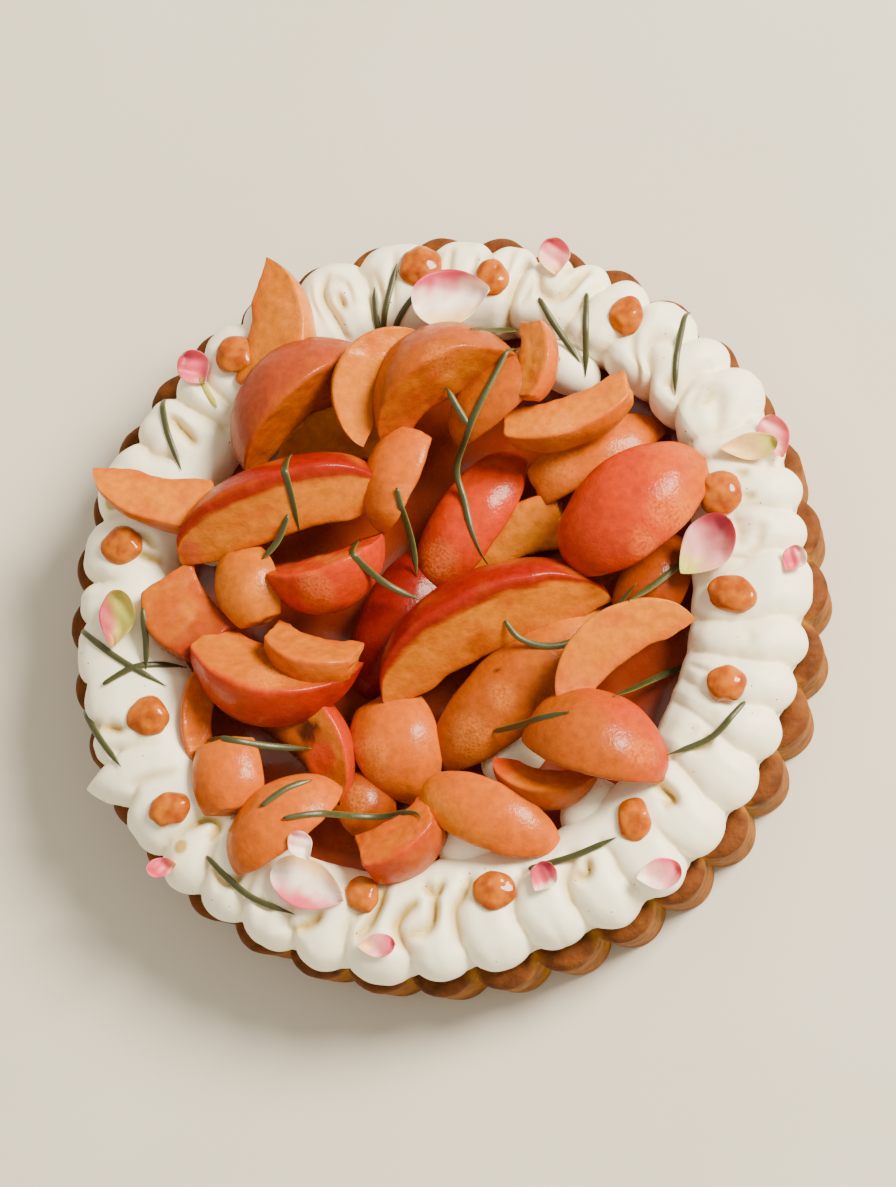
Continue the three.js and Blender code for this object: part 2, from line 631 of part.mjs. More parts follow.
// Each piece is whole where it lies on an earlier one, and the earlier one is pressed in under it.
const tart = new THREE.Group();

function addMesh(name, solid, look) {
  const { points, index } = tidied(solid);
  const geometry = new THREE.BufferGeometry().setFromPoints(points).setIndex(index);
  geometry.computeVertexNormals();
  const piece = new THREE.Mesh(geometry, new THREE.MeshStandardMaterial({ metalness: 0, ...look }));
  piece.name = name;
  tart.add(piece);
}

const pressings = items.map(({ skins }) =>
  skins.map((skin) => ({
    box: new THREE.Box3().setFromPoints(skin.points),
    solid: solidOf(skin),
    swollen: solidOf(swell(skin, GAP)),
  })),
);

addMesh("crust", pastryCase(), PASTRY);
items.forEach(({ name, skins, look }, i) => {
  const box = new THREE.Box3().setFromPoints(skins.flatMap((skin) => skin.points));
  let solid = skins.map(solidOf).reduce((whole, more) => whole.add(more));
  for (const cutter of pressings.slice(i + 1).flat()) {
    const meets = cutter.box.intersectsBox(box) && solid.intersect(cutter.solid).volume() > 0;
    if (meets) solid = solid.subtract(cutter.swollen);
  }
  const bodies = solid.decompose().sort((a, b) => b.volume() - a.volume());
  addMesh(name, bodies[0], look);
});

export default tart;
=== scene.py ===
"""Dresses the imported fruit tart: baked pastry, glossy filling, piped cream, wedges of stone fruit, gel,
petals and rosemary. Every length is in millimetres until a mesh is made."""

import math

import bmesh
import bpy
import numpy as np
from mathutils import Matrix, Vector, noise
from mathutils.bvhtree import BVHTree


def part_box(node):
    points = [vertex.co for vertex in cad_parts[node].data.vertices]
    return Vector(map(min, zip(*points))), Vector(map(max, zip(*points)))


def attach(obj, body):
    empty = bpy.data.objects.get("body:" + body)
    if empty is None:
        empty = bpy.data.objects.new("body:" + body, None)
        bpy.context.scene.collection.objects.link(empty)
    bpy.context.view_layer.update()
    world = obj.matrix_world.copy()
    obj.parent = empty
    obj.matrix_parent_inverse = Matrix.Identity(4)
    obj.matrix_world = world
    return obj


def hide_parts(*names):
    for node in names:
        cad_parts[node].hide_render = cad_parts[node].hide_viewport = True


# The noise starts from a fixed place, so that each run makes the same shapes.
noise.seed_set(1)

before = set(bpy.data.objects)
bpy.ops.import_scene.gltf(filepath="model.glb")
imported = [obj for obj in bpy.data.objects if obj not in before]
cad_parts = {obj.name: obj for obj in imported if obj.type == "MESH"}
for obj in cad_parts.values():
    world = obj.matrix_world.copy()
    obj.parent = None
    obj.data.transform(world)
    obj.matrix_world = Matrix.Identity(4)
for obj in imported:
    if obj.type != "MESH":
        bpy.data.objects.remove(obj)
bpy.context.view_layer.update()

MM = 0.001

# The camera of the photograph: the side and the height that it looks from, and what is in its middle.
VIEW_SIDE = 46.0
VIEW_HEIGHT = 72.0
VIEW_DISTANCE = 1200.0
VIEW_TARGET = (-4.0, 10.6, 0.0)
FOCAL_PX = 3962.0
PHOTO_HEIGHT_PX = 1187.0

# The case.
CREST_RADIUS = 115.0
CASE_HEIGHT = 28.0
FLUTES = 36
FLUTE_DEPTH = 5.8
FIRST_CREST = 0.2
BASE_DRAFT = 2.2
WALL_INSIDE = 105.0
BASE_THICKNESS = 5.0
FILLING_TOP = 23.0

# The gap between neighbours, and how far the crust stays inside its solid.
GAP = 0.3
INSIDE_SOLID = 0.05


def srgb(red, green, blue):
    """A colour given as it looks on a screen, as the linear numbers that a shader takes."""
    return tuple(((c / 255 + 0.055) / 1.055) ** 2.4 if c > 10 else c / 3294.6 for c in (red, green, blue))


# The tones of fruit flesh and peel.
TONES = {
    "amber": srgb(208, 114, 0),
    "gold": srgb(190, 98, 0),
    "apricot": srgb(214, 128, 0),
    "orange": srgb(198, 92, 0),
    "honey": srgb(168, 76, 0),
    # umber is painted shade: the dark brown of pieces that lie in shadow low in the pile.
    "umber": srgb(142, 56, 0),
    "coral": srgb(186, 50, 0),
    "red": srgb(146, 20, 2),
    "crimson": srgb(124, 16, 2),
    "dusky": srgb(156, 60, 26),
    "maroon": srgb(54, 7, 2),
    "blush": srgb(198, 88, 36),
}


def smoothstep(low, high, value):
    share = np.clip((value - low) / (high - low), 0, 1)
    return share * share * (3 - 2 * share)


def mix(first, second, share):
    """Goes from one colour to another by a share for each point."""
    return np.asarray(first) + (np.asarray(second) - np.asarray(first)) * np.asarray(share)[..., None]


def polar(radius, degrees):
    turn = np.radians(degrees)
    return np.stack([radius * np.cos(turn), radius * np.sin(turn)], -1)


def wobble(points, scale, seed):
    """A smooth seeded vector for each point, about a unit long, which changes over scale millimetres."""
    shift = Vector((seed * 17.3, seed * -9.1, seed * 4.7))
    flat = points.reshape(-1, 3) / scale
    drawn = [noise.noise_vector(Vector(p) + shift) for p in flat.tolist()]
    return np.array(drawn).reshape(points.shape)


def grain(points, scale, seed):
    return wobble(points, scale, seed)[..., 2]


def distance(points, x=0.0, y=0.0):
    """How far each point is from a place in plan."""
    return np.hypot(points[..., 0] - x, points[..., 1] - y)


def turned(points, degrees):
    """The points turned round the vertical."""
    angle = math.radians(degrees)
    c, s = math.cos(angle), math.sin(angle)
    return points @ np.array([[c, s, 0], [-s, c, 0], [0, 0, 1]])


def pitched(points, degrees):
    """The points turned about the Y axis."""
    angle = math.radians(degrees)
    c, s = math.cos(angle), math.sin(angle)
    return points @ np.array([[c, 0, s], [0, 1, 0], [-s, 0, c]])


def laid(points, heading, at):
    """The points with their middle moved to a place in plan and turned to a heading."""
    flat = points.reshape(-1, 3)
    return turned(points - (flat.max(0) + flat.min(0)) / 2, heading) + np.array([*at, 0])


# Meshes


def grid_faces(rows, columns, wrap_rows=False):
    """Quads over a grid of points that is stored row by row, whose rows are closed rings."""
    i, j = np.meshgrid(np.arange(rows if wrap_rows else rows - 1), np.arange(columns), indexing="ij")
    up, right = (i + 1) % rows, (j + 1) % columns
    quads = np.stack([i * columns + j, i * columns + right, up * columns + right, up * columns + j], -1)
    return quads.reshape(-1, 4)


def joined(parts):
    """One list of points and faces from several."""
    points, faces, count = [], [], 0
    for part_points, part_faces in parts:
        points.append(part_points.reshape(-1, 3))
        faces.extend((np.asarray(part_faces) + count).tolist())
        count += len(points[-1])
    return np.concatenate(points), faces


def make_mesh(name, points, faces, **values):
    """A smooth mesh in metres that faces out, with an attribute for each keyword."""
    mesh = bpy.data.meshes.new(name)
    mesh.from_pydata((points.reshape(-1, 3) * MM).tolist(), [], np.asarray(faces).tolist())
    for key, value in values.items():
        value = np.asarray(value, dtype=float)
        if value.shape[-1:] == (3,):
            value = np.concatenate([value, np.ones(value.shape[:-1] + (1,))], -1)
            layer = mesh.attributes.new(key, "FLOAT_COLOR", "POINT")
            layer.data.foreach_set("color", value.ravel())
        else:
            layer = mesh.attributes.new(key, "FLOAT", "POINT")
            layer.data.foreach_set("value", value.ravel())
    tidy = bmesh.new()
    tidy.from_mesh(mesh)
    bmesh.ops.remove_doubles(tidy, verts=tidy.verts, dist=0.005 * MM)
    bmesh.ops.recalc_face_normals(tidy, faces=tidy.faces)
    tidy.to_mesh(mesh)
    tidy.free()
    mesh.polygons.foreach_set("use_smooth", [True] * len(mesh.polygons))
    return mesh


def add_object(name, data):
    made = bpy.data.objects.new(name, data)
    bpy.context.collection.objects.link(made)
    return made


def add_piece(name, mesh, look, nodes=()):
    piece = add_object(name, mesh)
    piece.data.materials.append(look)
    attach(piece, "root")
    if nodes:
        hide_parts(*nodes)


# Materials


class Look:
    """A material with its shader, and short calls for the nodes that feed it."""

    def __init__(self, name, **sockets):
        self.material = bpy.data.materials.new(name)
        self.material.use_nodes = True
        self.tree = self.material.node_tree
        self.shader = self.tree.nodes["Principled BSDF"]
        for socket, value in sockets.items():
            self.shader.inputs[socket.replace("_", " ")].default_value = value
        self.place = self.node("ShaderNodeTexCoord").outputs["Object"]

    def node(self, kind, **inputs):
        made = self.tree.nodes.new(kind)
        for key, value in inputs.items():
            self.feed(made.inputs[key.replace("_", " ")], value)
        return made

    def feed(self, socket, value):
        if isinstance(value, bpy.types.NodeSocket):
            self.tree.links.new(value, socket)
        else:
            socket.default_value = value

    def attribute(self, key, output="Fac"):
        made = self.node("ShaderNodeAttribute")
        made.attribute_name = key
        return made.outputs[output]

    def spread(self, size_mm):
        """The place on the object, counted in steps of that many millimetres."""
        made = self.node("ShaderNodeMapping", Vector=self.place, Scale=[1 / (size_mm * MM)] * 3)
        return made.outputs["Vector"]

    def noise(self, size_mm, detail=3.0):
        """Noise from 0 to 1 whose blotches are about that wide."""
        made = self.node("ShaderNodeTexNoise", Vector=self.spread(size_mm), Scale=1.0, Detail=detail)
        return made.outputs["Fac"]

    def spots(self, size_mm):
        """The distance to scattered points, and a random number for each."""
        made = self.node("ShaderNodeTexVoronoi", Vector=self.spread(size_mm), Scale=1.0)
        return made.outputs["Distance"], made.outputs["Color"]

    def ramp(self, value, low, high, start=0.0, end=1.0):
        made = self.node("ShaderNodeMapRange", Value=value)
        for key, number in (("From Min", low), ("From Max", high), ("To Min", start), ("To Max", end)):
            made.inputs[key].default_value = number
        return made.outputs["Result"]

    def maths(self, operation, first, second):
        made = self.node("ShaderNodeMath")
        made.operation = operation
        self.feed(made.inputs[0], first)
        self.feed(made.inputs[1], second)
        return made.outputs["Value"]

    def blend(self, share, first, second, kind="MIX"):
        made = self.node("ShaderNodeMix")
        made.data_type = "RGBA"
        made.blend_type = kind
        self.feed(made.inputs["Factor"], share)
        for name, value in (("A", first), ("B", second)):
            socket = next(s for s in made.inputs if s.name == name and s.type == "RGBA")
            self.feed(socket, (*value, 1) if isinstance(value, tuple) and len(value) == 3 else value)
        return next(s for s in made.outputs if s.type == "RGBA")

    def blotches(self, noise, start, end):
        """Noise brought from its usual spread to a range of values."""
        return self.ramp(noise, 0.3, 0.7, start, end)

    def shaded(self, share):
        """The tone that the mesh carries, darkened by a share."""
        grey = self.blend(share, (0, 0, 0), (1, 1, 1))
        return self.blend(1.0, self.attribute("tone", "Color"), grey, "MULTIPLY")

    def bump(self, height, strength, depth_mm, after=None):
        made = self.node("ShaderNodeBump", Height=height, Strength=strength, Distance=depth_mm * MM)
        if after is not None:
            self.feed(made.inputs["Normal"], after)
        return made.outputs["Normal"]

    def finish(self, colour, roughness, normal):
        for socket, value in (("Base Color", colour), ("Roughness", roughness), ("Normal", normal)):
            self.feed(self.shader.inputs[socket], value)
        return self.material


def fruit_look():
    look = Look(
        "fruit",
        Coat_Weight=0.2,
        Coat_Roughness=0.16,
        Subsurface_Weight=0.12,
        Subsurface_Scale=0.003,
        Subsurface_Radius=(1.0, 0.3, 0.05),
        Specular_IOR_Level=0.08,
    )
    colour = look.shaded(look.blotches(look.noise(2.4, 4.0), 0.72, 0.98))
    # Painted highlights: where the attribute read below marks the light catching the wet fruit, the colour
    # turns a paler orange in grains.
    grains = look.ramp(look.noise(0.8, 4.0), 0.3, 0.75, 0.0, 0.45)
    frost = look.maths("MULTIPLY", look.attribute("frost"), grains)
    colour = look.blend(frost, colour, srgb(232, 140, 56))
    coarse = look.bump(look.noise(4.0, 2.0), 0.35, 0.6)
    fine = look.bump(look.noise(0.8, 3.0), 0.35, 0.3, coarse)
    look.feed(look.shader.inputs["Coat Normal"], fine)
    return look.finish(colour, look.blotches(look.noise(1.6), 0.26, 0.44), fine)


def cream_look():
    look = Look(
        "cream",
        Subsurface_Weight=0.25,
        Subsurface_Scale=0.004,
        Subsurface_Radius=(1.0, 0.8, 0.5),
        Coat_Weight=0.08,
        Coat_Roughness=0.35,
    )
    # Painted shade: the creases and pockets are darkened to a yellow-brown, and the same colour marks the
    # real stains where gel touched.
    fold = look.ramp(look.attribute("fold"), 0.0, 1.0)
    body = look.blend(fold, srgb(255, 248, 222), srgb(194, 166, 84))
    gap, seed = look.spots(3.4)
    rare = look.ramp(look.node("ShaderNodeSeparateColor", Color=seed).outputs["Red"], 0.55, 0.57)
    speck = look.maths("MULTIPLY", look.ramp(gap, 0.085, 0.06), rare)
    colour = look.blend(speck, body, srgb(70, 58, 48))
    normal = look.bump(look.noise(5.0), 0.25, 0.6)
    return look.finish(colour, look.blotches(look.noise(4.0), 0.42, 0.6), normal)


def pastry_look():
    look = Look("pastry", Specular_IOR_Level=0.12)
    colour = look.shaded(look.ramp(look.noise(5.0, 6.0), 0.32, 0.68, 0.52, 1.2))
    crumb = look.bump(look.noise(1.1, 4.0), 0.55, 0.5)
    normal = look.bump(look.noise(4.5), 0.6, 1.2, crumb)
    return look.finish(colour, look.blotches(look.noise(2.0), 0.55, 0.8), normal)


def filling_look():
    look = Look("filling", Coat_Weight=0.6, Coat_Roughness=0.12)
    colour = look.blend(look.ramp(look.noise(14.0), 0.35, 0.7), srgb(116, 34, 10), srgb(140, 54, 18))
    normal = look.bump(look.noise(5.0), 0.3, 0.6)
    return look.finish(colour, look.blotches(look.noise(6.0), 0.2, 0.4), normal)


def gel_look():
    look = Look(
        "gel",
        Coat_Weight=0.35,
        Coat_Roughness=0.04,
        Subsurface_Weight=0.1,
        Subsurface_Scale=0.002,
        Subsurface_Radius=(1.0, 0.4, 0.1),
        Specular_IOR_Level=0.1,
    )
    colour = look.blend(look.ramp(look.noise(4.0, 2.0), 0.35, 0.65), srgb(144, 62, 0), srgb(184, 98, 0))
    normal = look.bump(look.noise(3.0), 0.3, 0.5)
    return look.finish(colour, look.blotches(look.noise(3.0), 0.1, 0.22), normal)


def petal_look():
    look = Look("petal", Subsurface_Weight=0.35, Subsurface_Scale=0.0015, Sheen_Weight=0.2)
    colour = look.shaded(look.blotches(look.noise(1.2), 0.92, 1.06))
    normal = look.bump(look.noise(1.0), 0.3, 0.2)
    return look.finish(colour, look.blotches(look.noise(1.5), 0.42, 0.6), normal)


def leaf_look():
    look = Look("leaf", Coat_Weight=0.2, Coat_Roughness=0.3)
    colour = look.shaded(look.blotches(look.noise(1.5), 0.8, 1.15))
    normal = look.bump(look.noise(0.6), 0.4, 0.2)
    return look.finish(colour, look.blotches(look.noise(1.0), 0.35, 0.55), normal)


# The ground: the height of everything set down so far, for what lies on it.

surfaces = []


def raise_ground(mesh):
    points = [vertex.co / MM for vertex in mesh.vertices]
    surfaces.append(BVHTree.FromPolygons(points, [list(polygon.vertices) for polygon in mesh.polygons]))


def ground_at(x, y):
    best = 0.0
    for tree in surfaces:
        hit = tree.ray_cast(Vector((x, y, 200.0)), Vector((0, 0, -1)))[0]
        if hit is not None:
            best = max(best, hit.z)
    return best


# The pastry case and the filling

FLUTE_STEPS = 24
RIM_ROUNDING = 3.0
FOOT_CHAMFER = 0.8
UNDERSIDE_RINGS = (0.0, 60.0)
FLOOR_RINGS = (WALL_INSIDE, 40.0, 0.0)


def ring(radius, z, degrees):
    """Points round the axis at one height, with one radius or one for each direction."""
    return np.column_stack([polar(radius + 0 * degrees, degrees), z + 0 * degrees])


def crust():
    """A fluted wall with a rounded rim round a flat floor, a little uneven from baking."""
    turns = np.arange(FLUTES * FLUTE_STEPS) / FLUTE_STEPS
    share = turns - np.round(turns)
    bulge = 0.7 * (1 - (2 * share) ** 2) + 0.3 * np.sqrt(np.maximum(0, 1 - (2 * share) ** 2))
    degrees = FIRST_CREST + turns * 360 / FLUTES
    crest = CREST_RADIUS - FLUTE_DEPTH * (1 - bulge)
    shoulder = CASE_HEIGHT - RIM_ROUNDING
    rings = [ring(radius, 0.0, degrees) for radius in UNDERSIDE_RINGS]
    for z in np.concatenate([[0.0, FOOT_CHAMFER], np.linspace(RIM_ROUNDING, shoulder, 12)]):
        inset = BASE_DRAFT * (1 - z / CASE_HEIGHT) + (FOOT_CHAMFER if z == 0 else 0)
        rings.append(ring(crest - inset, z, degrees))
    for lean in np.radians(np.linspace(15, 90, 5)):
        inset = RIM_ROUNDING * (1 - math.cos(lean))
        rings.append(ring(crest - inset, shoulder + RIM_ROUNDING * math.sin(lean), degrees))
    rings.append(ring(WALL_INSIDE, CASE_HEIGHT, degrees))
    rings += [ring(radius, BASE_THICKNESS, degrees) for radius in FLOOR_RINGS]
    points = np.stack(rings)
    outside = (distance(points) > WALL_INSIDE + 1) & (points[..., 2] > 1.5)
    rough = 0.28 * wobble(points, 6.0, 3) + 0.1 * wobble(points, 2.0, 4)
    points = points + rough * np.array([1, 1, 0.5]) * outside[..., None]
    radius = distance(points)
    points[..., :2] *= np.minimum(1, (CREST_RADIUS - INSIDE_SOLID) / np.maximum(radius, 1))[..., None]
    points[..., 2] = np.clip(points[..., 2], 0, CASE_HEIGHT)
    valley = smoothstep(0.35, 0.95, 1 - np.broadcast_to(bulge, radius.shape))
    blotch = grain(points, 9.0, 5)
    shade = mix(srgb(140, 84, 26), srgb(168, 112, 28), np.clip(valley + 0.45 * blotch, 0, 1))
    # Darker towards the top of the wall, next to the cream, and less so in the valleys.
    baked = smoothstep(0.25, 0.95, (points[..., 2] - 19) / 9 + 0.5 * blotch) * (1 - 0.7 * valley)
    shade = mix(shade, srgb(92, 46, 22), baked * 0.85)
    return make_mesh("crust_baked", points, grid_faces(*points.shape[:2]), tone=shade)


def filling():
    radii = np.concatenate([[0.0], np.linspace(4, WALL_INSIDE - 3 * GAP, 44)])
    degrees = np.arange(90) * 4.0
    top = np.stack([ring(radius, FILLING_TOP, degrees) for radius in radii])
    top[..., 2] += 0.35 * grain(top, 12.0, 8) - 0.35
    low = top[::-1].copy()
    low[..., 2] = BASE_THICKNESS + GAP
    points = np.concatenate([top, low])
    return make_mesh("filling_set", points, grid_faces(*points.shape[:2]))


# The piped cream

# The radius of the ring's crown and of its foot, and the heights of its foot on the case and inside it.
CREAM_CROWN = 93.5
WALL = WALL_INSIDE - 2 * GAP
SEAT = CASE_HEIGHT + GAP
FOOT = FILLING_TOP + GAP

# The outer lobes: where each begins, in degrees, the radius of its crown and that of the ring's inner edge,
# then where the crease at its start runs on over the ring, how deep that is at its end, and how much painted
# shade, a yellow-brown, lies along it.
LOBES = [
    (-179, 109.5, 80, [(-178.5, 103)], 0.5, 0.1),
    (-169, 110, 76, [(-169.3, 105)], 0.3, 0.0),
    (-161.5, 110.8, 79, [(-161, 105)], 2.0, 0.4),
    (-155, 112.5, 82, [(-156, 104), (-155.5, 97), (-154.5, 91)], 1.2, 0.3),
    (-148.3, 112, 82, [(-149.5, 102), (-148, 94), (-147.5, 90)], 1.5, 0.4),
    (-138.5, 113.5, 82, [(-138.5, 104), (-138, 98), (-138, 90)], 3.5, 0.5),
    (-130, 112, 83, [(-130.5, 103), (-131.5, 98), (-132.5, 93)], 3.0, 0.5),
    (-122, 112, 83, [(-122.5, 101), (-122.8, 95)], 2.5, 0.4),
    (-112.5, 112.7, 82, [(-113.8, 104), (-114, 99), (-113.5, 94)], 2.5, 0.4),
    (-103.7, 113, 81, [(-104, 102), (-103.5, 97), (-101.5, 92), (-100.5, 88)], 3.5, 0.5),
    (-93, 111.5, 76, [(-93.8, 103), (-95, 98.5), (-95.2, 95.5), (-94, 92.5), (-92.3, 90.3)], 5.0, 1.0),
    (-84, 110, 75, [(-84.7, 103), (-85, 97), (-84.8, 92), (-83, 88), (-81.8, 84)], 4.0, 0.9),
    (-74, 109.3, 79, [(-74.6, 101), (-74.7, 96), (-73.5, 90), (-71.5, 86)], 3.0, 0.4),
    (-64.7, 111.7, 78, [(-65, 100), (-64.6, 95), (-62.8, 91.5), (-61.5, 89)], 3.0, 0.6),
    (-55.5, 112, 77, [(-55.8, 100), (-55.2, 95), (-55.2, 90)], 2.5, 0.4),
    (-46.5, 111.3, 79, [(-46.6, 102), (-45.8, 96)], 0.8, 0.2),
    (-37.3, 111, 78, [(-37.4, 103), (-36.7, 99), (-35.8, 92), (-35.0, 80)], 2.4, 0.3),
    (-28.2, 111, 77, [(-28.4, 103), (-28, 99), (-26, 88), (-25, 79)], 1.4, 0.1),
    (-20.3, 110.7, 77, [(-20.8, 103), (-21.5, 96), (-21, 86), (-20, 79)], 1.5, 0.1),
    (-13, 111.5, 77, [(-13.5, 103), (-13.7, 97), (-13.9, 88), (-13.7, 79)], 2.2, 0.2),
    (-5.5, 111.5, 77, [(-5.8, 102), (-7, 95), (-7.3, 88), (-7, 79)], 2.0, 0.2),
    (5, 111.5, 77, [(5.3, 103.5), (4.5, 96), (1.5, 88), (0.5, 79)], 1.6, 0.2),
    (11.5, 113.2, 80, [(11.8, 104), (12.5, 100), (13, 96)], 1.5, 0.4),
    (19, 113, 84, [(19.5, 108), (21, 103), (23, 97), (24.5, 85)], 3.2, 0.3),
    (27.5, 115.4, 86, [(26.8, 107), (26.6, 100), (27.5, 95), (28.5, 88)], 2.2, 0.2),
    (36.7, 113.4, 85, [(37.2, 107), (37.8, 101), (37, 95.5), (34, 85)], 3.2, 0.4),
    (43.8, 113, 85, [(45.5, 103), (47, 100), (46.5, 96), (43.5, 91), (42, 84)], 3.2, 0.5),
    (53, 112, 85, [(52, 104), (52, 97), (53, 92), (53.5, 84)], 2.2, 0.3),
    (60, 111, 85, [(60.5, 105), (61, 100), (62, 93), (62.5, 85)], 2.4, 0.3),
    (66.5, 110, 85, [(66, 105)], 1.0, 0.3),
    (72.5, 109.8, 83, [(73, 105), (73.8, 101), (74, 97), (74.3, 83)], 3.2, 0.6),
    (80, 110, 81, [(80, 103)], 1.0, 0.3),
    (89.7, 111, 81, [(88.5, 104), (88, 99)], 1.5, 0.4),
    (102.3, 110.5, 81, [(101, 100), (100.8, 95), (101, 87)], 3.5, 0.4),
    (113, 110, 81, [(113, 100), (113, 94)], 2.5, 0.3),
    (123.5, 109.5, 80, [(123, 102)], 2.0, 0.2),
    (132.5, 107, 79, [(133.5, 102), (134.6, 96), (134.5, 86)], 3.0, 0.4),
    (140, 108, 78, [(139.8, 97), (139.3, 90), (138.8, 83)], 3.5, 0.4),
    (149.5, 111, 80, [(149.8, 101), (150.5, 97), (149, 90)], 2.5, 0.5),
    (163.5, 109.3, 81, [(163, 101), (162, 97)], 2.0, 0.4),
    (174, 108.3, 81, [(174.3, 100), (174.2, 95)], 2.0, 0.2),
]

# The folds and pockets where the strand turns back: points, how deep, how wide, and how much painted shade, a
# yellow-brown, lies along it.
FOLDS = [
    ([(-160.5, 104), (-159, 99.5)], 3.5, 4.0, 1.0),
    ([(-137.6, 96), (-136.5, 91), (-134.2, 89.5), (-133.2, 94)], 4.5, 3.6, 1.0),
    ([(-129, 101), (-127, 102.5), (-125.2, 100.5), (-124.8, 96)], 3.2, 3.2, 0.9),
    ([(-120, 101), (-117, 101)], 2.4, 3.0, 0.5),
    ([(-112, 104), (-110.5, 102), (-108.8, 97.5)], 4.8, 4.0, 1.0),
    ([(-101.5, 100.5), (-100.2, 97), (-99.2, 92), (-98.8, 86)], 5.0, 3.8, 1.0),
    ([(-92.4, 98.6), (-90.5, 97.8), (-89.2, 95.5), (-88.6, 92), (-88.5, 88.5)], 5.0, 3.6, 1.0),
    ([(-90.3, 84.8), (-88.6, 86.6), (-87.3, 84.8)], 4.5, 3.2, 1.0),
    ([(-62.5, 94), (-60.8, 95.3), (-59.3, 93)], 4.5, 3.2, 1.0),
    ([(-42.2, 95), (-40.9, 95.4), (-40.5, 92.5), (-40.5, 89)], 5.0, 3.4, 1.0),
    ([(-31.5, 92.5), (-30, 94.3), (-28.2, 94)], 3.5, 3.0, 0.8),
    ([(-30, 87.5), (-27, 90), (-24.5, 93)], 1.3, 4.0, 0.2),
    ([(-17.5, 87), (-17, 81)], 1.0, 2.6, 0.1),
    ([(-13.5, 94), (-10.5, 96.3), (-7.5, 94)], 0.9, 2.4, 0.2),
    ([(4.2, 90), (4.3, 95), (6, 98), (9, 99.8)], 2.4, 3.0, 0.5),
    ([(7.5, 93), (11.5, 93)], 2.8, 7.0, 0.5),
    ([(14.2, 99), (14.6, 97.5)], 2.6, 2.6, 0.8),
    ([(18.5, 99.2), (18.9, 97.8)], 2.6, 2.6, 0.8),
    ([(26.5, 96.5), (28.5, 98.5), (31, 101), (33.4, 103.2)], 3.0, 4.0, 0.4),
    ([(33.4, 103.2), (35, 101.5), (35.2, 98), (33.5, 95)], 2.2, 2.8, 0.3),
    ([(32.8, 99.5), (33.6, 101.5)], 2.4, 2.2, 0.8),
    ([(36.5, 93), (39.8, 94)], 2.4, 5.0, 0.7),
    ([(50.5, 98), (49, 94), (46, 90), (44.5, 87)], 2.0, 3.6, 0.5),
    ([(63.5, 107), (64.2, 103), (64.8, 98.5), (66.5, 95.5), (69.4, 97), (70.2, 101)], 3.6, 3.0, 0.7),
    ([(70.5, 104), (71, 98), (72, 92)], 1.8, 2.6, 0.3),
    ([(76.5, 107), (76.2, 102), (76.5, 97)], 1.6, 2.6, 0.3),
    ([(82, 103.5), (82.3, 98)], 1.5, 2.6, 0.3),
    ([(86.3, 106), (86.2, 101), (86, 98)], 2.5, 2.4, 0.6),
    ([(95.8, 106), (96, 101), (96.3, 93), (97, 88)], 1.2, 3.0, 0.2),
    ([(99.3, 101), (98.8, 95), (98.6, 90)], 2.0, 2.6, 0.5),
    ([(104, 94), (104.2, 99), (105.4, 102), (107, 102.6)], 1.6, 2.2, 0.4),
    ([(105.9, 93.4), (106.1, 96.4)], 3.2, 2.4, 0.9),
    ([(107.2, 103.5), (108.5, 101), (108.8, 96), (108, 90), (107.5, 85)], 3.0, 2.8, 0.6),
    ([(110.6, 105), (111, 98), (110.8, 91)], 1.0, 2.2, 0.2),
    ([(143.4, 98), (143.8, 94), (144.5, 88)], 3.6, 3.2, 0.9),
    ([(166, 93), (165.5, 89), (167, 86)], 2.6, 2.8, 0.6),
    ([(169, 89), (169.3, 84)], 3.6, 2.8, 0.9),
]

FOLD_DEPTH = 1.4

# A crease between two outer lobes: the radii that it starts at and runs straight in to, the radius where it
# starts to get shallower and the least way that this takes, and the radius where the lobes' widths count.
CREASE_FROM, CREASE_STRAIGHT = 120.0, 106.5
SHALLOW_FROM, SHALLOW_LEAST = 112.0, 6.0
WIDTH_RADIUS = 108.0
CREAM_COLUMNS = 1440

# Stains on the cream where gel or syrup touched it: place in degrees and radius, and how wide.
STAINS = [((-136, 102.3), 3.0), ((160.8, 102.3), 3.4)]

# The pointed tail where the piping stopped: where it is, how far it reaches, and how fast it narrows on
# its two sides, in millimetres a degree.
TAIL_AT, TAIL_REACH = -154.0, 118.2
TAIL_SLOPES = (4.0, 1.35)

# Soft folds of cream inside the ring: middle, size and heading.
CREAM_LUMPS = [
    ((11, -71, 33), (21, 20, 18), 20),
    ((22, -44, 25), (22, 16, 16), 35),
    ((40, 69, 35), (15, 22, 18), 60),
    ((46, -63, 33), (16, 20, 17), -40),
    ((-66, 22, 34), (18, 14, 16), 10),
]


def ball(size, heading, at, rows, columns):
    tilt = np.linspace(0, np.pi, rows + 1)[:, None]
    turn = np.arange(columns)[None, :] * 2 * np.pi / columns
    unit = np.stack([np.sin(tilt) * np.cos(turn), np.sin(tilt) * np.sin(turn), np.cos(tilt) + 0 * turn], -1)
    points = unit * np.asarray(size) / 2
    return turned(points, heading) + np.asarray(at), grid_faces(rows + 1, columns)


def resampled(path, step):
    """A smooth curve through points, at even steps along it."""
    last = len(path) - 1
    fine = []
    for i in range(last):
        a, b, c, d = (path[min(max(i + k, 0), last)] for k in (-1, 0, 1, 2))
        for t in np.linspace(0, 1, 8, endpoint=False):
            bend = (2 * a - 5 * b + 4 * c - d) * t**2 + (3 * b - a - 3 * c + d) * t**3
            fine.append(0.5 * (2 * b + (c - a) * t + bend))
    fine = np.array([*fine, path[-1]])
    lengths = np.concatenate([[0], np.cumsum(np.linalg.norm(np.diff(fine, axis=0), axis=1))])
    stops = np.linspace(0, lengths[-1], max(4, round(lengths[-1] / step)))
    return np.stack([np.interp(stops, lengths, fine[:, k]) for k in range(fine.shape[1])], -1)


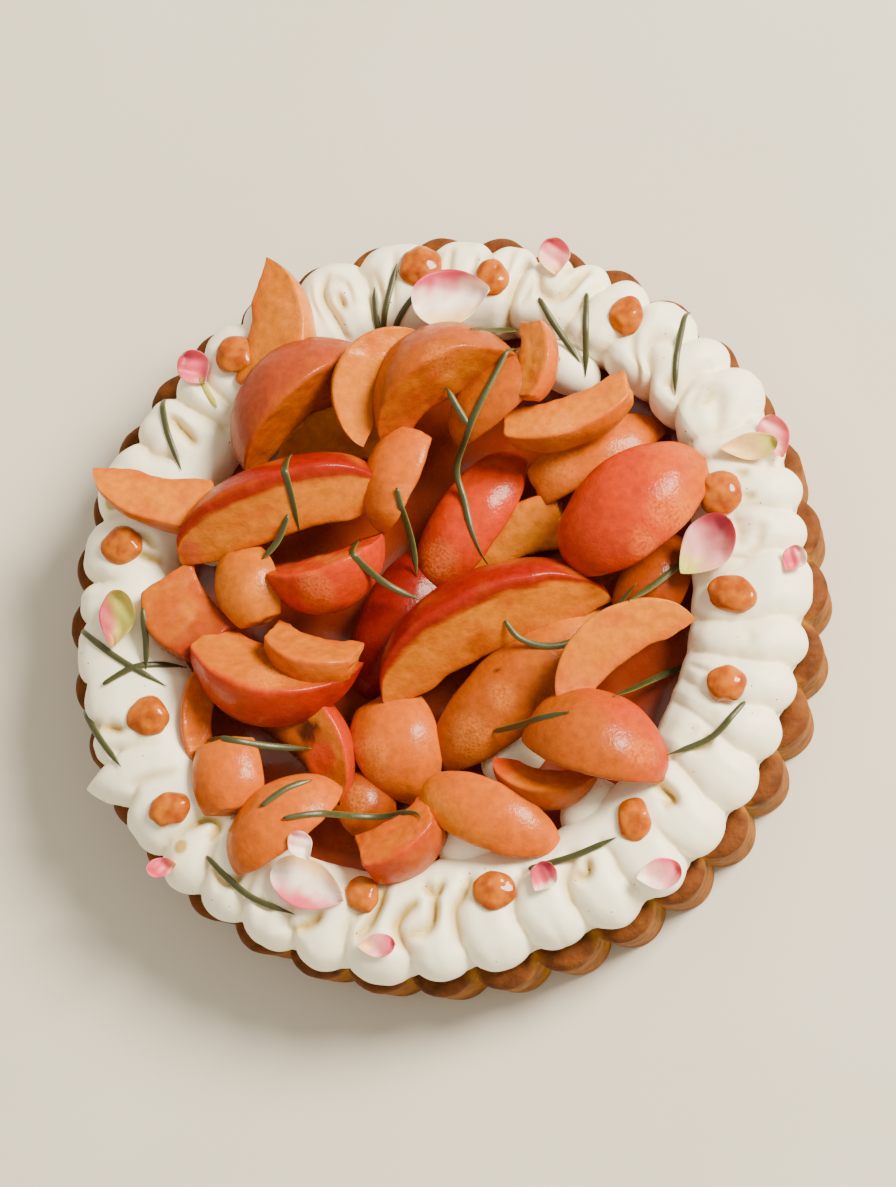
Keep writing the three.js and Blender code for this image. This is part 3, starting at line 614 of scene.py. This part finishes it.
def around(degrees, starts, values):
    """Values given for the middle of each lobe, smoothly joined round the ring."""
    ends = np.append(starts[1:], starts[0] + 360)
    middles = (starts + ends) / 2
    where = np.concatenate([middles - 360, middles, middles + 360])
    return np.interp(degrees, where, np.tile(values, 3))


def creases():
    """Each crease as points in plan, with its depth, width and share of painted yellow-brown shade at each of
    them.
    """
    found = []
    for k, (start, _, _, run, last, crease_shade) in enumerate(LOBES):
        widths = (start - LOBES[k - 1][0]) % 360, (LOBES[(k + 1) % len(LOBES)][0] - start) % 360
        half = math.radians(min(widths) / 2) * WIDTH_RADIUS
        path = [(start, CREASE_FROM), (start, CREASE_STRAIGHT), *run]
        line = resampled(np.array([polar(r, degrees) for degrees, r in path]), 1.0)
        way = max(SHALLOW_LEAST, SHALLOW_FROM - run[-1][1])
        share = np.clip((SHALLOW_FROM - distance(line)) / way, 0, 1)
        ending = last if run[-1][1] < 90 else 0.5 * last
        depth = np.interp(share, [0, 0.25, 0.6, 0.85, 1], [5.6, 5.0, (4.8 + last) / 2, 1.15 * last, ending])
        wide = np.interp(share, [0, 0.3, 1], [half, 0.75 * half, 4.2])
        found.append((line, depth, wide, crease_shade * smoothstep(0.1, 0.6, share) + 0.04))
    for path, deep, wide, crease_shade in FOLDS:
        line = resampled(np.array([polar(r, degrees) for degrees, r in path]), 0.8)
        share = np.linspace(0, 1, len(line))
        depth = FOLD_DEPTH * deep * np.interp(share, [0, 0.2, 0.8, 1], [0.5, 1, 1, 0.5])
        found.append((line, depth, np.full(len(line), wide), np.full(len(line), crease_shade)))
    return found


def creased(plan):
    """How deep the creases cut in at each point in plan, and how much painted yellow-brown shade lies there.
    """
    drop, yellow = np.zeros(len(plan)), np.zeros(len(plan))
    for line, depth, wide, crease_shade in creases():
        low, high = line.min(0) - wide.max(), line.max(0) + wide.max()
        near = np.flatnonzero(((plan > low) & (plan < high)).all(1))
        if not len(near):
            continue
        gap = np.linalg.norm(plan[near, None] - line[None], axis=2)
        closest = gap.argmin(1)
        gap = gap.min(1)
        share = np.clip(1 - gap / wide[closest], 0, 1)
        cut = depth[closest] * (1 - np.sqrt(1 - share**2)) ** 0.8
        drop[near] = np.maximum(drop[near], cut)
        tint = crease_shade[closest] * np.exp(-((gap / 1.7) ** 2))
        yellow[near] = np.maximum(yellow[near], tint)
    return drop, yellow


def cream_profile(outside, inside, tail):
    """The section of the ring for each degree, from the case's rim over the top and down to the filling."""
    ease = 0.55 * tail
    corners = [
        (WALL + 0 * outside, SEAT, 0.0),
        (outside - 2.4 - tail, SEAT, 0.5),
        (outside - 0.7 - ease, 31.0, 1.0),
        (outside + 0.1, 35.0, 1.0),
        (outside - 1.1 - 0.4 * ease, 39.3, 1.0),
        (outside - 4.2 - ease, 42.9, 1.0),
        (outside - 9.0 - tail, 44.9, 1.0),
        (CREAM_CROWN + 0 * outside, 45.4, 1.0),
        (0.55 * CREAM_CROWN + 0.45 * inside, 44.4, 1.0),
        (0.25 * CREAM_CROWN + 0.75 * inside, 41.6, 1.0),
        (inside + 0.4, 37.5, 1.0),
        (inside - 0.4, 33.0, 1.0),
        (inside + 0.6, 27.0, 0.6),
        (inside + 1.5, FOOT, 0.0),
        (WALL + 0 * outside, FOOT, 0.0),
    ]
    rows = np.array([4, 3, 5, 6, 6, 6, 9, 9, 8, 7, 5, 4, 2, 1])
    radius = np.stack([corner[0] for corner in corners])
    height = np.array([corner[1] for corner in corners])
    give = np.array([corner[2] for corner in corners])
    knots = np.concatenate([[0], np.cumsum(rows)])
    steps = np.arange(knots[-1] + 1)
    radius = np.stack([smooth_through(knots, radius[:, k], steps) for k in range(radius.shape[1])], 1)
    height = smooth_through(knots, height, steps)[:, None] + 0 * radius
    return radius, np.clip(height, FOOT, None), np.interp(steps, knots, give)[:, None]


def smooth_through(knots, values, steps):
    """A curve through values at knots, with the slope of its neighbours at each."""
    slopes = np.gradient(values, knots)
    slopes[[0, 1, -2, -1]] = 0
    i = np.clip(np.searchsorted(knots, steps, side="right") - 1, 0, len(knots) - 2)
    span = knots[i + 1] - knots[i]
    t = (steps - knots[i]) / span
    return (
        (2 * t**3 - 3 * t**2 + 1) * values[i]
        + (t**3 - 2 * t**2 + t) * span * slopes[i]
        + (3 * t**2 - 2 * t**3) * values[i + 1]
        + (t**3 - t**2) * span * slopes[i + 1]
    )


def cream():
    """One ring of cream with the creases of its piping cut into it, and the folds inside it."""
    degrees = -180 + np.arange(CREAM_COLUMNS) * 360 / CREAM_COLUMNS
    starts, crowns, inner = np.array([lobe[:3] for lobe in LOBES], dtype=float).T
    outside = around(degrees, starts, crowns)
    inside = around(degrees, starts, inner)
    side = degrees - TAIL_AT
    peak = TAIL_REACH - np.where(side < 0, -side * TAIL_SLOPES[0], side * TAIL_SLOPES[1])
    tail = np.maximum(0, peak - outside)
    radius, height, give = cream_profile(outside + tail, inside, tail)
    plan = polar(radius, np.broadcast_to(degrees, radius.shape))
    drop, yellow = creased(plan.reshape(-1, 2))
    drop = drop.reshape(radius.shape) * (1 - 0.8 * smoothstep(0, 2, tail))
    slope_r, slope_z = np.gradient(radius, axis=0), np.gradient(height, axis=0)
    length = np.hypot(slope_r, slope_z) + 1e-6
    out_r, out_z = slope_z / length, -slope_r / length
    radius = radius - give * drop * out_r
    height = height - give * drop * out_z
    points = np.concatenate([polar(radius, np.broadcast_to(degrees, radius.shape)), height[..., None]], -1)
    points = softened(points, 1)
    points += give[..., None] * (0.45 * wobble(points, 11.0, 31) + 0.12 * wobble(points, 3.5, 32))
    lowest = np.where(distance(points) > WALL - 0.1, SEAT, FOOT)
    points[..., 2] = np.maximum(points[..., 2], lowest)
    # The painted shade along the creases, then the real stains where gel or syrup touched the cream, carried
    # in one attribute.
    shown = yellow.reshape(radius.shape)
    for (at, spot), wide in STAINS:
        away = np.linalg.norm(points[..., :2] - polar(spot, at), axis=-1)
        shown = np.maximum(shown, 1.6 * smoothstep(wide, 0.3 * wide, away))
    parts = [(points, grid_faces(*radius.shape, wrap_rows=True))]
    parts += [ball(size, heading, at, 32, 48) for at, size, heading in CREAM_LUMPS]
    every, faces = joined(parts)
    shown = np.concatenate([shown.ravel(), np.zeros(len(every) - shown.size)])
    return make_mesh("cream_piped", every, faces, fold=shown)


# The fruit


def cut(at, heading, roll, size, flesh, peel, **more):
    """A row of the table of fruit."""
    return dict(at=at, heading=heading, roll=roll, size=size, flesh=flesh, peel=peel, **more)


# The wedges from the bottom of the pile to its top, as the solids have them: place in plan, heading, roll,
# then length from tip to tip, distance from core to peel and angle between the cuts, then the two tones.
# Some have the span that is left of a whole wedge, a sag, a band of peel colour, or a tone that fades in.
WHOLE = (-1, 1)
FRUIT = [
    # The first two pieces are umber all over: painted shade, where they lie in shadow under others.
    cut((66, 2), 60, 100, (34, 14, 95), "umber", "umber"),
    cut((-22, -57), -60, 70, (26, 14, 90), "umber", "umber"),
    cut((-31, 54), 5, 20, (42, 20, 45), "apricot", "apricot"),
    cut((-12, -3), 62, 90, (50, 15, 100), "crimson", "crimson"),
    cut((-43.5, 81.5), 66, 180, (70, 27, 33), "amber", "amber", pitch=8, span=(-0.1, 1)),
    cut((-82, 32), 178, 0, (66, 20, 36), "amber", "orange", pitch=8, span=(-0.12, 1)),
    cut((-73, -2), -54, 180, (42, 25, 34), "honey", "honey", span=(-0.6, 0.6), fade=("crimson", -60)),
    cut((-70, -31), -98, 165, (36, 12, 50), "orange", "orange", span=(-0.8, 1)),
    cut((23, 59), 39, 75, (40, 14, 90), "orange", "honey"),
    cut((23, 21), 185, 178, (56, 20, 40), "amber", "orange", span=(-0.05, 1)),
    cut((11, 24.5), 55, 92, (50, 15, 95), "coral", "coral", fade=("red", -134)),
    cut((-43, -33), -37, 5, (56, 24, 40), "honey", "coral", pit=1),
    cut((-43, -65), 36, 75, (40, 15, 100), "amber", "orange"),
    cut((18, -65), -25, 90, (45, 14, 95), "orange", "orange", fade=("apricot", 220)),
    cut((-41.5, 63.5), 41, 60, (52, 25, 50), "honey", "dusky", fade=("honey", -44)),
    cut((-15.5, 64.5), 61, 10, (38, 19, 40), "amber", "gold"),
    cut((26, -26), 40, 95, (68, 17, 100), "honey", "honey", fade=("amber", 46)),
    cut((34, -57), -10, 160, (31, 14, 50), "orange", "honey", fade=("coral", 136)),
    cut((49, 42.5), 27, 88, (50, 19, 56), "orange", "orange", span=(-0.7, 1)),
    cut((-7, -72), 27, 165, (40, 21, 50), "orange", "coral", span=(-0.5, 0.7), fade=("honey", -44)),
    cut((-44, 30), 15, 28, (67, 27, 44), "amber", "red", belly=6, band=0.23),
    cut((-53, 5), -73, 90, (30, 13, 100), "amber", "gold", span=(-0.75, 0.75)),
    cut((-47, -23), -19, 155, (54, 28, 44), "gold", "coral", span=(-0.8, 1), fade=("red", -30)),
    cut((-59, -51), -82, 90, (34, 14, 110), "orange", "orange", span=(-0.62, 0.62), fade=("amber", 136)),
    cut((-34, -18), -17, 150, (34, 19, 44), "gold", "orange", span=(-0.8, 0.8)),
    cut((-29, 6), 14, 150, (38, 20, 60), "coral", "coral", pit=1),
    cut((-9, 35), 67, 75, (37, 13, 95), "orange", "orange", span=(-1, 0.7)),
    cut((4, 66), 27, 45, (48, 26, 50), "honey", "honey", fade=("dusky", 136)),
    cut((51, -44), -20, 70, (44, 20, 90), "honey", "honey", fade=("coral", 30)),
    cut((56, -18), 35, 5, (47, 19, 36), "amber", "amber", fade=("blush", 226)),
    cut((62, 22), 36, 93, (51, 20, 105), "coral", "coral", fade=("orange", 20)),
    cut((44, 50), 15, 170, (49, 18, 40), "amber", "orange", span=(-0.75, 0.8)),
    cut((35, 66), 80, 172, (31, 14, 44), "amber", "orange", span=(-0.7, 0.8)),
    cut((-11, -42), -70, 90, (37, 18, 100), "orange", "orange", span=(-0.8, 1)),
    cut((15, -5.5), 23, 33, (74, 29, 44), "amber", "red", belly=3, band=0.2, by_top=True),
]

# Hollows of the pit, fibres and specks: place in plan, how wide, and the tone. The maroon of a pit hollow is
# partly its own red-brown, partly painted shade.
MARKS = {
    12: [(-36, -38, 4.5, "maroon"), (-32, -46, 6, "coral")],
    17: [(21, -22.5, 0.9, "maroon")],
    21: [(-70, 15, 5, "blush")],
    35: [(16, -17, 6, "honey")],
}

# Painted highlights: the paler, grainy patches where the light catches the wet fruit, painted into its
# colour: place in plan, and how wide.
GLARES = {
    2: [(-22, -57, 6)],
    5: [(-37, 86, 9)],
    10: [(25, 13, 7)],
    11: [(2, 12, 8)],
    17: [(12, -41, 9), (22, -30, 6)],
    19: [(39, 38, 8)],
    22: [(-48, 3, 6)],
    23: [(-44, -24, 7)],
    26: [(-30, 0, 7)],
    27: [(-2, 26, 7)],
    28: [(9, 65, 6)],
    29: [(65, -51, 6)],
    30: [(45, -32, 5)],
    31: [(74, 19, 9), (66, 10, 6)],
    32: [(43, 45, 8)],
    34: [(-18, -45, 9)],
    35: [(58, -1, 6), (36, -12, 6)],
}

# The grid of a wedge: steps from tip to tip, over each cut face, over the peel and over the pit.
ALONG = 60
FACE_STEPS, PEEL_STEPS, PIT_STEPS = 16, 22, 4

# The rings that close a broken end, as shares of its section, and the usual width of the reddish rim of a cut
# face, as a share of the way from core to peel.
CAP_SHARES = (0.75, 0.4, 0.0)
THIN_BAND = 0.05


def section():
    """How far out and how far round each point of a wedge's section lies."""
    face, peel, pit = (np.arange(steps) / steps for steps in (FACE_STEPS, PEEL_STEPS, PIT_STEPS))
    out = np.concatenate([face, 0 * peel + 1, 1 - face, 0 * pit])
    turn = np.concatenate([0 * face - 1, 2 * peel - 1, 0 * face + 1, 1 - 2 * pit])
    return out, turn


def wedge(row, seed):
    """Points in rows from tip to tip, how much of each is peel, and how far out it lies."""
    length, radius, angle = row["size"]
    first, last = row.get("span", WHOLE)
    out, turn = section()
    t = np.sin(np.linspace(math.asin(first), math.asin(last), ALONG + 1))[:, None]
    peel = radius * np.sqrt(np.maximum(0, 1 - t**2))
    pit = 0.05 * peel + 0.13 * radius * np.sqrt(np.maximum(0, 1 - (t / 0.55) ** 2))
    roll = math.radians(row["roll"])
    sag = row.get("belly", 0) * (1 - t**2) * math.copysign(1, math.cos(roll))
    reach = pit + (peel - pit) * out
    face = roll + math.radians(angle / 2) * turn
    points = np.stack([t * length / 2 + 0 * reach, reach * np.cos(face) - sag, reach * np.sin(face)], -1)
    skin = np.broadcast_to((out >= 1).astype(float), points.shape[:2])
    far = np.broadcast_to(out, points.shape[:2])
    for end, stop in ((0, first), (-1, last)):
        if abs(stop) > 0.999:
            continue
        points[end][:, 0] += 1.3 * grain(points[end], 3.0, seed + 50)
        heart = points[end].mean(0)
        caps = np.stack([heart + (points[end] - heart) * share for share in CAP_SHARES])
        caps[..., 0] += 0.7 * grain(caps, 2.5, seed + 70)
        caps[2] = caps[2].mean(0)
        bare = np.zeros(caps.shape[:2])
        if end == 0:
            joints = (caps[::-1], points), (bare, skin), (bare + 0.5, far)
        else:
            joints = (points, caps), (skin, bare), (far, bare + 0.5)
        points, skin, far = (np.concatenate(joint) for joint in joints)
    return points, skin, far


def softened(grid, rounds):
    """The same grid of points with its edges rounded, the first and last rows only along themselves."""
    for _ in range(rounds):
        beside = (np.roll(grid, 1, 1) + np.roll(grid, -1, 1)) / 2
        grid = (grid + beside) / 2
        grid[1:-1] = grid[1:-1] / 2 + (grid[2:] + grid[:-2]) / 4
    return grid


def fruit(index, row):
    """One wedge, laid to the height of its solid."""
    name = f"fruit_{index:02d}"
    points, skin, far = wedge(row, index)
    points = pitched(softened(points, 2), row.get("pitch", 0))
    skin = softened(skin[..., None], 1)[..., 0]
    points = laid(points, row["heading"], row["at"])
    low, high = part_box(name)
    if row.get("by_top"):
        points[..., 2] += high[2] / MM - points[..., 2].max()
    else:
        points[..., 2] += low[2] / MM - points[..., 2].min()
    rough = (0.22 * (1 - skin))[..., None] * wobble(points, 2.6, index + 40)
    shaped = points + 0.45 * wobble(points, 9.0, index) + rough
    tone = fruit_tone(row, shaped, skin, far, index)
    # Painted highlights: a paler patch round each of the piece's glare places, where the light catches the
    # wet fruit.
    frost = np.zeros(shaped.shape[:2])
    for x, y, wide in GLARES.get(index, []):
        away = distance(shaped, x, y) + 1.5 * grain(shaped, 4.0, index + 7)
        frost = np.maximum(frost, smoothstep(wide, 0.35 * wide, away))
    return make_mesh(name + "_cut", shaped, grid_faces(*shaped.shape[:2]), tone=tone, frost=frost)


def fruit_tone(row, points, skin, far, seed):
    """Flesh that is browner at its core and redder at its rim, then peel, fades and marks."""
    flesh, peel = TONES[row["flesh"]], TONES[row["peel"]]
    blotch = grain(points, 8.0, seed + 5)
    body = mix(flesh, TONES["apricot"], smoothstep(0.0, 0.7, blotch) * 0.45)
    body = mix(body, TONES["coral"], smoothstep(0.1, 0.7, grain(points, 6.0, seed + 9)) * 0.35)
    band = row.get("band", THIN_BAND)
    rim = smoothstep(1 - 1.15 * band, 1 - 0.75 * band, far + 0.05 * blotch)
    body = mix(body, peel, rim * (0.95 if band > THIN_BAND else 0.5))
    # On pieces marked pit the core turns maroon: partly the pit hollow's own red-brown, partly painted shade
    # in the hollow.
    pit, depth = ("maroon", 0.9) if row.get("pit") else ("coral", 0.3)
    body = mix(body, TONES[pit], smoothstep(0.3, 0.05, far) * depth)
    outside = mix(peel, flesh, smoothstep(-0.1, 0.8, blotch) * 0.4)
    tone = mix(body, outside, skin)
    if "fade" in row:
        other, heading = row["fade"]
        reach = points[..., :2] @ polar(1.0, heading)
        share = (reach - reach.min()) / np.ptp(reach) + 0.15 * blotch
        tone = mix(tone, TONES[other], 0.85 * smoothstep(0.55, 1.05, share))
    for x, y, wide, other in MARKS.get(seed, []):
        away = distance(points, x, y) + 0.3 * wide * grain(points, 2.0, seed + 11)
        tone = mix(tone, TONES[other], 0.9 * smoothstep(wide, 0.5 * wide, away))
    return tone


# Dots of gel: place, then width, depth and height, and the heading of those that are turned.
GEL_DOTS = [
    ((-2, 100), (12.5, 13, 7)),
    ((20, 95), (10.5, 12, 6)),
    ((60, 81), (10.5, 12, 6)),
    ((-58, 76), (12, 12, 7)),
    ((87, 26), (13, 14, 7)),
    ((90, -4), (15, 11, 6), -20),
    ((88, -30), (12, 11, 7)),
    ((61, -68), (10, 13, 6)),
    ((20, -87), (13, 11.5, 6)),
    ((-19, -87), (10.5, 11, 6)),
    ((-77, -60), (13, 10, 6), 15),
    ((-84, -32), (13, 12, 6)),
    ((-93, 20), (12.5, 12, 7)),
]

# How flat a dot's lower half is, how much of it sinks in, and how far its foot may be from its solid's.
GEL_FLATTENED = 0.8
GEL_SUNK = 0.38
GEL_LOWER, GEL_HIGHER = 1.5, 2.0


def gel_dot(index, at, size, heading=0):
    points, faces = ball(size, heading, (0, 0, 0), 28, 36)
    points[..., 2] *= np.where(points[..., 2] < 0, GEL_FLATTENED, 1.0)
    points += 0.8 * wobble(points, 5.0, index + 90) + 0.25 * wobble(points, 2.2, index + 120)
    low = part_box(f"gel_{index:02d}")[0][2] / MM
    seat = min(max(ground_at(*at) - GEL_SUNK * size[2], low - GEL_LOWER), low + GEL_HIGHER)
    points += np.array([*at, seat - points[..., 2].min()])
    return make_mesh(f"gel_{index:02d}_dot", points, faces)


# Petals: place, heading, length and width, cup, pitch, three tones, and the heading that those run in.
PINK, ROSE, BLUSH = srgb(216, 74, 98), srgb(178, 30, 66), srgb(238, 160, 162)
PALE, PEACH, LIME = srgb(248, 230, 216), srgb(242, 196, 132), srgb(190, 188, 72)
PETALS = [
    ("petal_large", (10, 87), 190, (23, 18), 5, 8, (PEACH, PALE, ROSE), 100),
    ("petal_back", (39, 100), 95, (11, 9.5), 3, 10, (PEACH, BLUSH, PINK), 69),
    ("petal_bud", (-71, 73), 125, (11, 10), 4, 10, (BLUSH, PINK, ROSE), 134),
    ("petal_right", (103, 42), 110, (13, 9), 3, 10, (PINK, BLUSH, PINK), 22),
    ("petal_inner", (83, 10), 45, (21, 15), 5, 10, (LIME, BLUSH, ROSE), 52),
    ("petal_left", (-93, -3), 80, (17, 11), 4, 12, (LIME, LIME, ROSE), 182),
    ("petal_front", (-34, -84), 155, (23, 15), 3, 4, (PEACH, PALE, PINK), -112),
    ("petal_small", (35, -84), 60, (9, 8), 3, 6, (PALE, PINK, ROSE), 113),
    ("petal_rim", (68, -84), 10, (13, 9), 3, -8, (PALE, BLUSH, PINK), 39),
]
SMALL_PETALS = [
    ("petal_cream_1", (96, 39), 0, (17, 8), 3, 4, (PEACH, PEACH, LIME), 15),
    ("petal_cream_2", (108, 5.5), 57, (8, 7), 2, 0, (PINK, PINK, PALE), 3),
    ("petal_cream_3", (-79, -77), 190, (9, 6), 2, 0, (PEACH, PINK, PINK), 190),
    ("petal_cream_4", (-34, -74), 120, (9, 7), 2, 10, (PALE, PALE, BLUSH), 120),
    ("petal_cream_5", (-14, -102), 0, (11, 7), 2, 0, (PEACH, BLUSH, PINK), -8),
]
PETAL_THICKNESS = 0.7
PETAL_ROWS, PETAL_COLUMNS = 40, 21
# A petal is lowered until one in this many of its points has reached what lies under it.
PETAL_REST = 50


def petal(name, at, heading, size, cup, pitch, tones, tint):
    """A thin cupped sheet, wide near its tip, laid down on what lies under it."""
    length, width = size
    along = -0.5 * np.cos(np.linspace(0, np.pi, PETAL_ROWS))[:, None]
    spread = np.maximum(np.sin(np.pi * (along + 0.5) ** 1.25), 0) ** (0.62 - 0.2 * (along + 0.5))
    across = np.linspace(-1, 1, PETAL_COLUMNS)[None, :]
    curl = 0.5 * np.sin(7 * along + 2 * across) + 0.25 * np.sin(13 * along - 5 * across)
    z = cup * (across**2 * 0.6 + along**2 * 1.6) + curl
    top = np.stack([along * length + 0 * across, across * spread * width / 2, z], -1)
    inwards = (1 - np.abs(across)) * np.minimum(1, 4 * (0.5 - np.abs(along)))
    thin = PETAL_THICKNESS * np.minimum(1, 0.25 + 3 * inwards)
    low = top - np.stack([0 * z, 0 * z, thin], -1)
    points = np.concatenate([top, low[:, ::-1]], 1)
    points = laid(pitched(points, pitch), heading, at)
    rooms = sorted(p[2] - ground_at(p[0], p[1]) for p in points[::3, ::3].reshape(-1, 3))
    points[..., 2] -= rooms[len(rooms) // PETAL_REST]
    reach = (points[..., :2] - np.array(at)) @ polar(1.0, tint)
    share = (reach - reach.min()) / np.ptp(reach) + 0.12 * grain(points, 3.0, len(name))
    base, middle, tip = tones
    tone = mix(mix(base, middle, smoothstep(0.1, 0.45, share)), tip, smoothstep(0.45, 0.9, share))
    return make_mesh(name + "_leaf", points, grid_faces(*points.shape[:2]), tone=tone)


# Rosemary: each needle as points in plan, from its base to its tip. Needles of one twig share points.
NEEDLES = [
    [(-15, 79), (-12, 90), (-9, 102)],
    [(-15, 79), (-16, 87), (-16, 95)],
    [(-13, 79), (-8, 86), (-2, 93)],
    [(26, 81), (22, 78), (17, 75)],
    [(34, 88), (39, 79), (46, 68)],
    [(48, 89), (48, 77), (47, 64)],
    [(77, 84), (75, 69), (74, 56)],
    [(-83, 68), (-80, 56), (-75, 42)],
    [(-66, -74), (-53, -86), (-39, -92)],
    [(-107, -27), (-100, -37), (-92, -47)],
    [(-108, -3), (-94, -14), (-79, -23)],
    [(-84, -1), (-84, -9), (-85, -18)],
    [(-98, -22), (-88, -17), (-75, -16)],
    [(93, -35), (84, -45), (71, -50)],
    [(30, -81), (43, -78), (56, -73)],
    [(29, 73), (23, 61), (15, 47), (9, 38), (11, 28), (13, 19), (16, 10)],
    [(15, 48), (12, 53), (9, 59)],
    [(-39, 43), (-37, 32), (-37, 20)],
    [(-39, 24), (-43, 17), (-48, 12)],
    [(-20, 17), (-19, 11), (-12, 4), (-2, -1)],
    [(-6, 30), (-5, 18), (-5, 8)],
    [(24, -9), (28, -14), (37, -16), (47, -12), (62, 1)],
    [(77, 10), (69, 1), (62, -7)],
    [(74, -19), (64, -25), (57, -34)],
    [(19, -40), (32, -40), (46, -39)],
    [(-39, -66), (-25, -64), (-4, -64), (0, -67)],
    [(-67, -39), (-52, -42), (-35, -43)],
    [(-46, -62), (-39, -57), (-32, -54)],
]

# The stalk of the bud, from the bud inwards.
STALK = [(-70, 71), (-67.5, 66), (-64, 60.5)]
LEAF_TONES = (srgb(46, 50, 12), srgb(148, 142, 78))
STALK_TONES = (srgb(176, 168, 70), srgb(206, 198, 110))

# A needle's width, how far it may sink in, how high its middle lies, how flat it is, and its sides.
NEEDLE_WIDTH = 2.1
NEEDLE_SINK = 0.4
NEEDLE_LIFT = 0.7
NEEDLE_FLATNESS = 0.6
NEEDLE_SIDES = 10
SETTLING_ROUNDS = 80


def needle(name, path, tones):
    """A needle that lies on the high points under it and spans what is between them."""
    line = resampled(np.array(path, dtype=float), 1.0)
    count = len(line)
    under = np.array([ground_at(x, y) for x, y in line]) - NEEDLE_SINK
    z = under + NEEDLE_SINK
    for _ in range(SETTLING_ROUNDS):
        z[1:-1] = np.maximum((z[2:] + z[:-2]) / 2, under[1:-1])
        z[0], z[-1] = max(2 * z[1] - z[2], under[0]), max(2 * z[-2] - z[-3], under[-1])
    share = np.linspace(0, 1, count)
    girth = np.interp(share, [0, 0.04, 0.3, 0.8, 1], [0.35, 0.75, 1, 0.9, 0.08]) * NEEDLE_WIDTH / 2
    ahead = np.gradient(line, axis=0)
    side = np.stack([-ahead[:, 1], ahead[:, 0]], -1) / np.linalg.norm(ahead, axis=1)[:, None]
    turn = np.arange(NEEDLE_SIDES) * 2 * np.pi / NEEDLE_SIDES
    points = np.empty((count, NEEDLE_SIDES, 3))
    points[..., :2] = line[:, None] + side[:, None] * (girth[:, None] * np.cos(turn))[..., None]
    points[..., 2] = z[:, None] + NEEDLE_LIFT + NEEDLE_FLATNESS * girth[:, None] * np.sin(turn)
    caps = [np.broadcast_to(points[end].mean(0), (1, NEEDLE_SIDES, 3)) for end in (0, -1)]
    points = np.concatenate([caps[0], points, caps[1]])
    pale = np.broadcast_to(smoothstep(0.75, 1.0, np.abs(np.cos(turn))), points.shape[:2])
    return make_mesh(name, points, grid_faces(*points.shape[:2]), tone=mix(*tones, pale * 0.8))


# The studio

FLOOR_REACH = 3.0
KEY_PLACE = (1.5, 0.7, 1.5)
KEY_SIZE = 0.9
KEY_POWER = 168.0
KEY_COLOUR = (1.0, 0.895, 0.71)
SKY_COLOUR = (1.0, 0.905, 0.73, 1)
SKY_STRENGTH = 0.86


def add_camera():
    side, height = math.radians(VIEW_SIDE), math.radians(VIEW_HEIGHT)
    away = Vector((math.sin(side) * math.cos(height), -math.cos(side) * math.cos(height), math.sin(height)))
    up = (Vector((0, 1, 0)) - away * away.y).normalized()
    placed = Matrix((up.cross(away), up, away)).transposed().to_4x4()
    placed.translation = (Vector(VIEW_TARGET) + away * VIEW_DISTANCE) * MM
    data = bpy.data.cameras.new("camera")
    data.sensor_width = 36.0
    data.lens = FOCAL_PX * data.sensor_width / PHOTO_HEIGHT_PX
    camera = add_object("camera", data)
    camera.matrix_world = placed
    bpy.context.scene.camera = camera


def add_key():
    data = bpy.data.lights.new("key", "AREA")
    data.shape = "DISK"
    data.size = KEY_SIZE
    data.energy = KEY_POWER
    data.color = KEY_COLOUR
    light = add_object("key", data)
    light.location = KEY_PLACE
    light.rotation_euler = Vector(KEY_PLACE).to_track_quat("Z", "Y").to_euler()


def add_floor():
    look = Look("floor", Specular_IOR_Level=0.2)
    cloud = look.ramp(look.noise(90.0, 2.0), 0.3, 0.7)
    colour = look.blend(cloud, srgb(208, 203, 190), srgb(213, 208, 196))
    look.finish(colour, 0.85, look.bump(look.noise(1.5), 0.1, 0.2))
    mesh = bpy.data.meshes.new("floor")
    corners = [(x * FLOOR_REACH, y * FLOOR_REACH, 0) for x, y in ((-1, -1), (1, -1), (1, 1), (-1, 1))]
    mesh.from_pydata(corners, [], [(0, 1, 2, 3)])
    mesh.materials.append(look.material)
    floor = add_object("floor", mesh)


def add_studio():
    add_camera()
    add_key()
    world = bpy.data.worlds.new("studio")
    world.use_nodes = True
    sky = world.node_tree.nodes["Background"]
    sky.inputs["Color"].default_value = SKY_COLOUR
    sky.inputs["Strength"].default_value = SKY_STRENGTH
    bpy.context.scene.world = world
    add_floor()


def build():
    add_studio()
    add_piece("pastry", crust(), pastry_look(), ["crust"])
    base = filling()
    add_piece("set_filling", base, filling_look(), ["filling"])
    raise_ground(base)
    border = cream()
    add_piece("piped_cream", border, cream_look(), ["cream_border"])
    raise_ground(border)
    flesh = fruit_look()
    for index, row in enumerate(FRUIT, 1):
        mesh = fruit(index, row)
        add_piece(f"slice_{index:02d}", mesh, flesh, [f"fruit_{index:02d}"])
        raise_ground(mesh)
    gel = gel_look()
    for index, row in enumerate(GEL_DOTS, 1):
        mesh = gel_dot(index, *row)
        add_piece(f"dot_{index:02d}", mesh, gel, [f"gel_{index:02d}"])
        raise_ground(mesh)
    bloom = petal_look()
    for row in PETALS:
        add_piece(row[0] + "_bloom", petal(*row), bloom, [row[0]])
    for row in SMALL_PETALS:
        add_piece(row[0], petal(*row), bloom)
    leaf = leaf_look()
    for index, path in enumerate(NEEDLES, 1):
        name = f"rosemary_{index:02d}"
        add_piece(name, needle(name + "_leaf", path, LEAF_TONES), leaf)
    add_piece("bud_stalk", needle("bud_stalk_leaf", STALK, STALK_TONES), leaf)


build()
